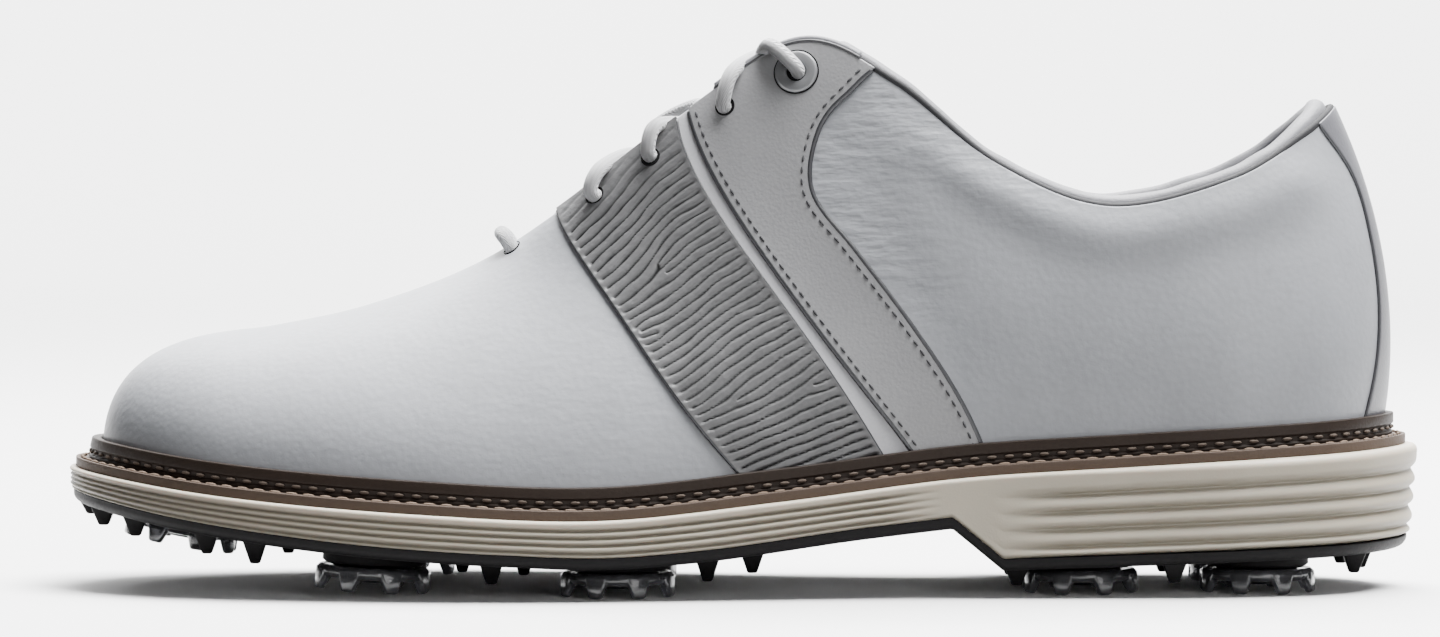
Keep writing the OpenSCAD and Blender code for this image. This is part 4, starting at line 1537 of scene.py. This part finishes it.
@dataclass
class Upper:
    """The leather panels, their thread and the padded collar, in millimetres."""

    saddle_out: float = 0.95
    facing_out: float = 1.05
    strip_out: float = 0.65
    ridge_height: float = 0.6
    roll_end: float = 0.018
    lining_depth: float = 2.5
    lining_thickness: float = 0.8

    @staticmethod
    def vamp_creases(w: Array, v: Array) -> Array:
        """How creased the vamp is, which is a little towards the saddle."""
        return 0.03 + 0.2 * smooth_step(2.2, 4.2, np.abs(w)) * (1 - smooth_step(0.45, 0.85, v))

    @staticmethod
    def quarter_creases(w: Array, v: Array) -> Array:
        """How creased the quarter is: most beside the facing and under the collar."""
        beside = np.exp(-(((np.abs(w) - quarter_seam(v)) / 1.0) ** 2)) * smooth_step(0.25, 0.5, v)
        under = smooth_step(0.6, 0.9, v) * (1 - smooth_step(9.0, 11, np.abs(w))) * 0.45
        return np.clip(1.2 * beside + under + 0.02, 0, 1.3)

    def build_vamp(self) -> None:
        """Makes the white vamp that wraps the toe."""
        Panel(
            "pebbled_vamp", ("vamp",), "white_leather", "white_leather",
            lambda v: -saddle_front(v) - 0.1, lambda v: saddle_front(v) + 0.1, 204, 70,
            marks={"crease": self.vamp_creases},
        ).build()

    def build_saddle(self, side: Side) -> None:
        """Makes the embossed band on one side."""
        pattern = RidgePattern(11 if side is Side.LATERAL else 29)

        def fade(w: Array, v: Array) -> Array:
            """1 on the band and 0 at its edges."""
            u = np.abs(w)
            inside = smooth_step(0.0, 0.05, u - saddle_front(v)) * smooth_step(0.0, 0.05, stripe_start(v) - u)
            return inside * (1 - 0.75 * smooth_step(0.82, 0.95, v)) * (1 - smooth_step(0.965, 0.99, v))

        def relief(w: Array, v: Array, points: Array) -> Array:
            """Depth of the valleys below the band's face."""
            return -self.ridge_height * (1 - pattern.crest(points)) * fade(w, v)

        def ridge(w: Array, v: Array) -> Array:
            """The crest height that the finish reads."""
            return 1 - (1 - pattern.crest(LAST.surface(w, v))) * fade(w, v)

        Panel(
            f"embossed_saddle_{side.word}", (f"saddle_{side.word}",), "saddle", "saddle_leather",
            saddle_front, stripe_start, 96, 250,
            out=self.saddle_out, side=side, relief=relief, marks={"ridge": ridge},
        ).build()

    def build_stripe(self, side: Side) -> None:
        """Makes the narrow white stripe on one side."""
        Panel(
            f"white_stripe_{side.word}", (f"stripe_{side.word}",), "stripe", "stripe_leather",
            shifted(stripe_start, -1.2), shifted(stripe_end, 0.8), 8, 60, out=0.4, side=side,
        ).build()

    def build_facing(self, side: Side) -> None:
        """Makes the smooth strap that holds the lace holes on one side."""
        Panel(
            f"facing_strap_{side.word}", (f"facing_{side.word}",), "facing", "facing_leather",
            stripe_end, quarter_seam, 40, 110, out=self.facing_out, side=side, edge_radius=0.45,
        ).build()

    def build_edges(self, side: Side) -> None:
        """Lays dark tubes along the cut edges of the saddle, the facing and the heel strip on one side: edge
        paint, and painted shade where the raised overlays step down.
        """
        v = np.linspace(0.012, 0.992, 160)
        bm = bmesh.new()
        for edge, out, radius in (
            (saddle_front, 0.42, 0.5),
            (stripe_start, 0.5, 0.42),
            (stripe_end, 0.5, 0.66),
            (quarter_seam, 0.45, 0.7),
            (strip_seam, 0.2, 0.42),
        ):
            # Painted shade with the edge paint: the dark tubes also stand for the shade along each raised
            # overlay's step.
            lay_tube(bm, LAST.at(edge(v) * side.value, v, np.full_like(v, out)), radius, 8)
        make_piece(f"painted_edges_{side.word}", bm, ["edge_paint_and_shade"])

    def build_rim_piping(self, side: Side) -> None:
        """Makes the thin roll along the rim above one facing, with the dark seam under it."""
        w = np.linspace(6.3, COLLAR_START + 0.35, 80)
        ones = np.ones_like(w)
        low = LAST.surface(w * side.value, ones * 0.96)
        rim = LAST.surface(w * side.value, ones)
        up = unit(rim - low)
        for name, finish, out, rise, radius in (
            ("rim_piping", "collar_leather", -0.1, 0.75, 0.95),
            ("rim_seam", "edge_paint_and_shade", 0.85, 0.05, 0.45),
        ):
            bm = bmesh.new()
            lay_tube(bm, LAST.at(w * side.value, ones, ones * out) + up * rise, radius, 10)
            make_piece(f"{name}_{side.word}", bm, [finish])

    def build_quarter(self, side: Side) -> None:
        """Makes the white quarter on one side."""

        def puff(w: Array, v: Array, points: Array) -> Array:
            """Swell of the padding under the collar."""
            u = np.abs(w)
            inside = smooth_step(0.3, 1.6, u - quarter_seam(v)) * smooth_step(0.15, 0.9, strip_seam(v) - u)
            return 1.5 * inside * np.exp(-(((v - 0.88) / 0.11) ** 2))

        Panel(
            f"pebbled_quarter_{side.word}", (f"quarter_{side.word}",), "white_leather", "white_leather",
            shifted(quarter_seam, -3.0), shifted(strip_seam, 2.0), 130, 80, side=side, relief=puff,
            marks={"crease": self.quarter_creases},
        ).build()

    def build_heel_strip(self) -> None:
        """Makes the strip that covers the back seam."""
        Panel(
            "heel_cover_strip", ("heel_strip",), "heel_strip", "heel_leather", strip_seam,
            lambda v: 2 * HEEL - strip_seam(v), 30, 70, out=self.strip_out,
        ).build()

    def build_facing_thread(self) -> None:
        """Sews the thread along both edges of each facing."""
        v = np.linspace(0.035, 0.975, 300)
        bm = bmesh.new()
        rows = (
            (shifted(stripe_end, 1.7), self.facing_out),
            (shifted(quarter_seam, -1.7), self.facing_out),
        )
        row = StitchRow(pitch=2.6, length=1.9, thick=0.62)
        for side in Side:
            for edge, out in rows:
                w = edge(v) * side.value
                row.sew(bm, LAST.at(w, v, np.full_like(v, out + 0.02)), LAST.normal(w, v))
        make_piece("facing_stitches", bm, ["facing_thread"], nodes=["facing_thread"])

    def build_collar(self) -> None:
        """Makes the padded collar roll and the dark binding under it."""
        section = np.array([
            (0.88, 1.4, 0), (1, 1.4, 0), (1, 1.6, 1.9), (1, 3.0, 3.2), (1, 4.8, 3.2),
            (1, 6.5, 1.6), (0.98, 6.9, 0), (0.93, 5.7, 0), (0.88, 3.2, 0), (0.88, 1.4, 0),
        ])
        ripple = Ripples(5, 11)

        def place(s: Array, t: Array) -> Array:
            """Points of the roll, drawn in at its two ends."""
            w = COLLAR_START + (2 * HEEL - 2 * COLLAR_START) * s
            q = smooth_loop(section, t)
            near = np.minimum(s, 1 - s)
            ends = np.sqrt(np.clip(1 - (1 - near / self.roll_end) ** 2, 0, 1))
            ends = np.where(near >= self.roll_end, 1.0, ends)
            middle = np.array([0.97, 3.6, 0.8])
            q = middle + (q - middle) * ends[:, None]
            rim = LAST.surface(w, np.ones_like(w))
            up = unit(rim - LAST.surface(w, np.full_like(w, 0.96)))
            points = LAST.at(w, np.minimum(q[:, 0], 1), -q[:, 1]) + up * q[:, 2][:, None]
            return points + up * (0.12 * ripple(points) * ends)[:, None]

        bm = bmesh.new()
        lay_grid(bm, 300, 36, place)
        weld(bm)
        roll = make_piece("padded_collar_roll", bm, ["collar_leather"], nodes=["collar_roll"])
        w = np.linspace(COLLAR_START - 0.15, 2 * HEEL - COLLAR_START + 0.15, 400)
        path = LAST.at(w, np.ones_like(w), np.full_like(w, -0.5))
        bm = bmesh.new()
        lay_tube(bm, path, 0.9, 10)
        make_piece("collar_binding", bm, ["cut_edge"])

    def build_linings(self) -> None:
        """Makes the knitted lining in front of and behind its seam."""
        front = LINING_SEAM - 0.015
        Panel(
            "forefoot_lining", ("front_lining",), "lining", "lining_knit", fixed(-front), fixed(front),
            150, 40, out=-self.lining_depth, thickness=self.lining_thickness,
        ).build()
        Panel(
            "heel_room_lining", ("heel_lining",), "lining", "lining_knit", fixed(LINING_SEAM),
            fixed(2 * HEEL - LINING_SEAM), 150, 34, out=-self.lining_depth,
            thickness=self.lining_thickness, high=0.88,
        ).build()

    def build(self) -> None:
        """Makes every piece of the upper."""
        self.build_vamp()
        for side in Side:
            self.build_saddle(side)
            self.build_stripe(side)
            self.build_facing(side)
            self.build_edges(side)
            self.build_rim_piping(side)
            self.build_quarter(side)
        self.build_heel_strip()
        self.build_facing_thread()
        self.build_collar()
        self.build_linings()


def smooth_path(points: Array, steps: int) -> Array:
    """Smooth curve through points, with a number of steps to each stretch."""
    ends = np.concatenate(([points[0]], points, [points[-1]]))
    t = np.linspace(0, 1, steps, endpoint=False)[:, None]
    parts = [
        hermite(b, c, (c - a) / 2, (d - b) / 2, t) for a, b, c, d in zip(ends, ends[1:], ends[2:], ends[3:])
    ]
    return np.concatenate([*parts, points[-1:]])


def smooth_loop(points: Array, t: Array) -> Array:
    """Points of a smooth closed curve through a loop whose first point is repeated last."""
    count = len(points) - 1
    spot = np.mod(t, 1.0) * count
    i = np.floor(spot).astype(int) % count
    a, b, c, d = (points[(i + step) % count] for step in (-1, 0, 1, 2))
    return hermite(b, c, (c - a) / 2, (d - b) / 2, (spot - np.floor(spot))[:, None])


def lay_tube(bm: Mesh, path: Array, radius: float, sides: int) -> None:
    """Adds a closed round tube along a path.

    Args:
        bm: The mesh to add to.
        path: Points of its centre line in millimetres.
        radius: Its radius in millimetres.
        sides: Cells round it.
    """
    ways = unit(np.gradient(path, axis=0))
    across = np.empty_like(ways)
    across[0] = unit(np.cross(ways[0], (0.3, 0.2, 1.0)))
    for i in range(1, len(ways)):
        across[i] = unit(across[i - 1] - ways[i] * (ways[i] @ across[i - 1]))
    upward = np.cross(ways, across)
    last = len(path) - 1

    def place(s: Array, t: Array) -> Array:
        """Points of the tube, drawn in to its ends."""
        i = np.round(s * last).astype(int)
        closing = np.where((i == 0) | (i == last), 0.0, radius)
        turn = 2 * np.pi * t
        round_way = across[i] * np.cos(turn)[:, None] + upward[i] * np.sin(turn)[:, None]
        return path[i] + round_way * closing[:, None]

    own = bmesh.new()
    lay_grid(own, last, sides, place)
    weld(own)
    bmesh.ops.recalc_face_normals(own, faces=own.faces)
    absorb(bm, own, Matrix.Identity(4))


# ---------------------------------------------------------------- tongue, lace and inside


@dataclass
class Tongue:
    """The padded tongue under the throat, in millimetres."""

    depth: float = 9.2
    thickness: float = 4.0
    start: float = THROAT + 0.18
    end: float = 7.2
    rows: tuple[float, ...] = (0.72, 0.8, 0.88, 0.95)

    def upper_row(self, w: Array, q: Array) -> tuple[Array, Array]:
        """Points and normals of the tongue's upper face.

        Args:
            w: Columns along the throat.
            q: Place across, -1 on the lateral edge and 1 on the medial.

        Returns:
            Points and normals.
        """
        points, normals = [], []
        k = (w - THROAT) / (self.end - THROAT)
        for side, rows in ((-1, self.rows), (1, self.rows[::-1])):
            for v in rows:
                points.append(LAST.at(side * w, np.full_like(w, v), np.full_like(w, -self.depth)))
                normals.append(LAST.normal(side * w, np.full_like(w, v)))
        ones = np.ones_like(w)
        up = unit(LAST.normal(-w, ones) + LAST.normal(w, ones))
        middle = (LAST.surface(-w, ones) + LAST.surface(w, ones)) / 2 - up * (self.depth - 2 * k)[:, None]
        points.insert(4, middle)
        normals.insert(4, up)
        ring, face = np.array(points), np.array(normals)
        spot = (q + 1) / 2 * 8
        i = np.clip(np.floor(spot).astype(int), 0, 7)
        t = (spot - i)[:, None]
        rows = np.arange(len(w))
        a, b, c, d = (ring[np.clip(i + step, 0, 8), rows] for step in (-1, 0, 1, 2))
        normal = unit(face[i, rows] * (1 - t) + face[np.minimum(i + 1, 8), rows] * t)
        return hermite(b, c, (c - a) / 2, (d - b) / 2, t), normal

    def place(self, s: Array, t: Array) -> Array:
        """Points of the tongue's skin, rounded at its edges and its free end."""
        turn = 2 * np.pi * t
        w = self.start + (self.end - self.start) * s
        tip = np.sqrt(np.clip(1 - np.clip((s - 0.93) / 0.07, 0, 1) ** 2, 0, 1))
        root = 0.45 + 0.55 * smooth_step(0.0, 0.15, s)
        width = 0.5 + 0.44 * np.sqrt(np.clip(1 - np.clip((s - 0.78) / 0.22, 0, 1) ** 2, 0, 1))
        points, normals = self.upper_row(w, np.cos(turn) * width)
        lift = np.sign(np.sin(turn)) * np.abs(np.sin(turn)) ** 0.6
        quilting = 0.25 * np.cos(s * 2 * np.pi * 4) * np.abs(np.sin(turn))
        half = self.thickness / 2
        rise = -half + lift * (half * tip * root + quilting * tip - 0.25)
        return points + normals * rise[:, None]

    def build(self) -> None:
        """Makes the tongue, which rides on its own body."""
        bm = bmesh.new()
        lay_grid(bm, 90, 56, self.place)
        weld(bm)
        bmesh.ops.holes_fill(bm, edges=[edge for edge in bm.edges if edge.is_boundary], sides=0)
        piece = make_piece("padded_tongue", bm, ["tongue_leather"], TONGUE, nodes=["tongue"])


@dataclass
class Lacing:
    """The round lace, its tips and the rings and holes it runs through, in millimetres."""

    diameter: float = 3.4
    holes: tuple[Pair, ...] = ((4.45, 0.95), (5.3, 0.93), (5.75, 0.925), (6.36, 0.925), (6.95, 0.915))
    hole_outs: tuple[float, ...] = (0.0, 0.95, 0.95, 1.05, 1.05)
    half_route: tuple[Quad, ...] = (
        (-55, 0, 80.5, 0), (-54, 5, 79.5, 0), (-51, 5.5, 76, 0), (-46.5, 4.5, 77.5, 0),
        (-40.5, 0, 83, 1.9), (-33.5, -6.5, 85.5, 0), (-32, -11, 88, 0), (-34.5, -14, 90.5, 0),
        (-32, -11.5, 95.5, 0), (-25.5, 0, 96.5, 1.9), (-22, 7, 95.5, 0), (-20, 12, 97, 0),
        (-21.5, 15.5, 99.5, 0), (-19.5, 13, 105, 0), (-11, 0, 107.5, 1.9), (-5.5, -9, 108.5, 0),
        (-3.5, -14, 108.5, 0), (-4.5, -17.5, 110.5, 0), (-2, -15.5, 117.5, 0), (6, 0, 119.5, 1.9),
        (10, 10.5, 119, 0), (12.5, 16, 116, 0), (11.5, 19.5, 118.5, 0), (6, 17, 123, 0),
        (4, 9, 119, 0), (4, 11, 112.5, 0), (5, 13.5, 104, 0), (6.5, 15.5, 96, 0),
    )

    def half(self, sign: int) -> Array:
        """One half of the route, from the middle of the bottom bar to its tip."""
        return np.array([(x, sign * y, z + sign * lift) for x, y, z, lift in self.half_route], float)

    def build_lace(self) -> None:
        """Makes the braided lace along its whole route."""
        route = np.concatenate([self.half(1)[:0:-1], self.half(-1)])
        path = smooth_path(route, 12)
        bm = bmesh.new()
        lay_tube(bm, path, self.diameter / 2, 14)
        make_piece("braided_lace", bm, ["lace_cord"], nodes=["lace"])
        length = np.linalg.norm(np.diff(path, axis=0), axis=1).sum()
        LOG.info("the lace is %.0f mm long", length)

    def build_tips(self) -> None:
        """Makes the clear sleeve on each end of the lace."""
        bm = bmesh.new()
        profile = [(0, -1.5), (1.6, -1.5), (1.72, -1.0), (1.45, 2.0), (1.3, 11.2), (1.0, 11.9), (0, 11.9)]
        for sign in (-1, 1):
            route = self.half(sign)
            way = Vector(route[-1] - route[-2]).normalized()
            lathe(bm, profile, 24, toward(way, Vector(route[-1] * MM)))
        make_piece("lace_tips", bm, ["clear_tip"], nodes=["aglets"])

    def build_rings(self) -> None:
        """Makes the two ring eyelets, a disc of painted shadow in every punched hole and a thin ring of
        painted shade round each eyelet.
        """
        ring = [(2.2, -0.5), (2.2, 0.1), (2.4, 0.45), (2.9, 0.6), (4.2, 0.55), (4.7, 0.4)]
        ring += [(4.9, 0.1), (4.9, -0.5), (2.2, -0.5)]
        # A thin dark ring of painted shade round the outside of each eyelet.
        groove_shade = [(4.8, 0.02), (5.0, 0.1), (5.2, 0.02), (5.2, -0.5), (4.8, -0.5), (4.8, 0.02)]
        # A dark disc of painted shadow filling each punched hole.
        hole = [(0, 0.02), (1.95, 0.02), (2.15, 0.14), (2.3, 0.02), (2.3, -0.5), (0, -0.5)]
        rings, holes = bmesh.new(), bmesh.new()
        for side in Side:
            for i, (u, v) in enumerate(self.holes):
                w = np.array([side.value * u])
                row = np.array([v])
                way = Vector(LAST.normal(w, row)[0])
                spot = Vector(LAST.at(w, row, np.array([self.hole_outs[i]]))[0] * MM)
                lathe(holes, hole, 32, toward(way, spot))
                if i == len(self.holes) - 1:
                    lathe(rings, ring, 64, toward(way, spot))
                    lathe(holes, groove_shade, 64, toward(way, spot))
        make_piece("top_ring_eyelets", rings, ["ring_metal"], nodes=["ring_eyelets"])
        make_piece("painted_hole_shadows", holes, ["hole_shadow"])

    def build(self) -> None:
        """Makes the lace and everything it runs through."""
        self.build_lace()
        self.build_tips()
        self.build_rings()


@dataclass
class Inside:
    """The footbed, and the finishes of the pieces hidden in the shoe."""

    board: float = 2.0
    footbed: float = 4.5
    hidden: dict[str, str] = field(
        default_factory=lambda: {
            "shank": "steel", "cork_filler": "cork", "insole_board": "leather_board", "vamp_backer": "canvas",
            "toe_puff": "stiffener", "heel_counter": "stiffener", "quarter_foam_lateral": "soft_foam",
            "quarter_foam_medial": "soft_foam", "cleat_receptacles": "black_rubber",
        }
    )

    def footbed_side(self, w: Array, t: Array) -> Array:
        """Points of the footbed's rim, rounded at its upper edge."""
        drop = np.clip((t - 0.55) / 0.45, 0, 1)
        out = -4.7 - 1.8 * (1 - np.sqrt(1 - np.minimum(drop, 0.98) ** 2))
        points = LAST.ring(w, out, welt_top)
        points[..., 2] += self.board + 0.1 + (self.footbed - 0.1) * t
        return points

    def build(self) -> None:
        """Makes the footbed and dresses the hidden pieces."""
        bm = bmesh.new()
        lay_slab(bm, self.footbed_side, 110, 10, fill=24)
        make_piece("cloth_footbed", bm, ["footbed_cloth"], nodes=["footbed"])
        for node, finish in self.hidden.items():
            dress(frame["nodes"][node], finish)


def dress(node: Piece, finish: str) -> None:
    """Gives a carried-over node another finish in all its slots."""
    if not node.material_slots:
        node.data.materials.append(FINISHES.get(finish))
    for place in node.material_slots:
        place.material = FINISHES.get(finish)


# ---------------------------------------------------------------- studio


@dataclass
class Studio:
    """Camera, pale sweep and soft lights, in metres."""

    distance: float = 1.4
    eye_height: float = 0.106
    aim: Triple = (-0.0052, 0.0, 0.061)
    lens: float = 153.5
    sweep_length: float = 9.0
    sweep_width: float = 12.0
    floor_front: float = 3.0

    def build_camera(self) -> None:
        """Sets the camera to one side of the shoe, a little above its middle."""
        camera = bpy.data.cameras.new("camera")
        camera.lens = self.lens
        camera.sensor_width = 36
        camera.clip_end = 50
        stand = bpy.data.objects.new("camera", camera)
        stand.location = (self.aim[0], -self.distance, self.eye_height)
        look = Vector(self.aim) - stand.location
        stand.rotation_euler = look.to_track_quat("-Z", "Y").to_euler()
        bpy.context.scene.collection.objects.link(stand)
        bpy.context.scene.camera = stand

    def build_sweep(self) -> None:
        """Makes the pale floor that curves up into a backdrop."""
        floor, arc, radius = 5.5, 2.2, 1.4
        bm = bmesh.new()
        bmesh.ops.create_grid(bm, x_segments=2, y_segments=80, size=0.5)
        for vert in bm.verts:
            along = (vert.co.y + 0.5) * self.sweep_length
            bend = min(max((along - floor) / arc, 0), 1) * math.pi / 2
            rise = radius * (1 - math.cos(bend)) + max(along - floor - arc, 0) * 2
            depth = min(along, floor) + radius * math.sin(bend)
            vert.co = Vector((vert.co.x * self.sweep_width, depth - self.floor_front, rise))
        mesh = bpy.data.meshes.new("sweep")
        bm.to_mesh(mesh)
        bm.free()
        board = Board("sweep_paper")
        fine = board.noise(board.where(), 3, 2)
        board.finish(Base_Color=board.mix(fine, tone(246, 246, 246), tone(247, 247, 247)), Roughness=0.9)
        mesh.materials.append(board.material)
        mesh.polygons.foreach_set("use_smooth", [True] * len(mesh.polygons))
        sweep = bpy.data.objects.new("sweep", mesh)
        bpy.context.scene.collection.objects.link(sweep)
        sweep.visible_diffuse = False

    @staticmethod
    def add_light(name: str, place: Sequence[float], size: Pair, watts: float, aim: Sequence[float]) -> None:
        """Adds a soft rectangular light.

        Args:
            name: Its name.
            place: Where it hangs.
            size: Its width and depth.
            watts: Its power.
            aim: The point it faces.
        """
        lamp = bpy.data.lights.new(name, "AREA")
        lamp.shape = "RECTANGLE"
        lamp.size, lamp.size_y = size
        lamp.energy = watts
        holder = bpy.data.objects.new(name, lamp)
        holder.location = place
        holder.rotation_euler = (Vector(aim) - Vector(place)).to_track_quat("-Z", "Y").to_euler()
        bpy.context.scene.collection.objects.link(holder)

    def build(self) -> None:
        """Makes the whole studio."""
        self.build_camera()
        self.build_sweep()
        world = bpy.data.worlds.new("studio_air")
        world.use_nodes = True
        air = world.node_tree.nodes["Background"]
        air.inputs["Color"].default_value = (1, 1, 1, 1)
        air.inputs["Strength"].default_value = 0.12
        bpy.context.scene.world = world
        self.add_light("overhead", (0.3, 0.22, 1.4), (1.7, 0.9), 175, (0, 0, 0.05))
        self.add_light("front", (0.9, -1.8, 0.5), (1.2, 0.7), 14, (0, 0, 0.06))
        self.add_light("backdrop", (0, 2.6, 3.0), (5.0, 1.2), 680, (0, 3.9, 0.7))


def main() -> None:
    """Builds the studio, then each sub-assembly of the shoe from the ground up."""
    logging.basicConfig(level=logging.INFO, format="%(name)s: %(message)s")
    Studio().build()
    Sole().build()
    for cleat in CLEATS:
        cleat.build()
    Upper().build()
    Tongue().build()
    Lacing().build()
    Inside().build()


if __name__ == "__main__":
    main()
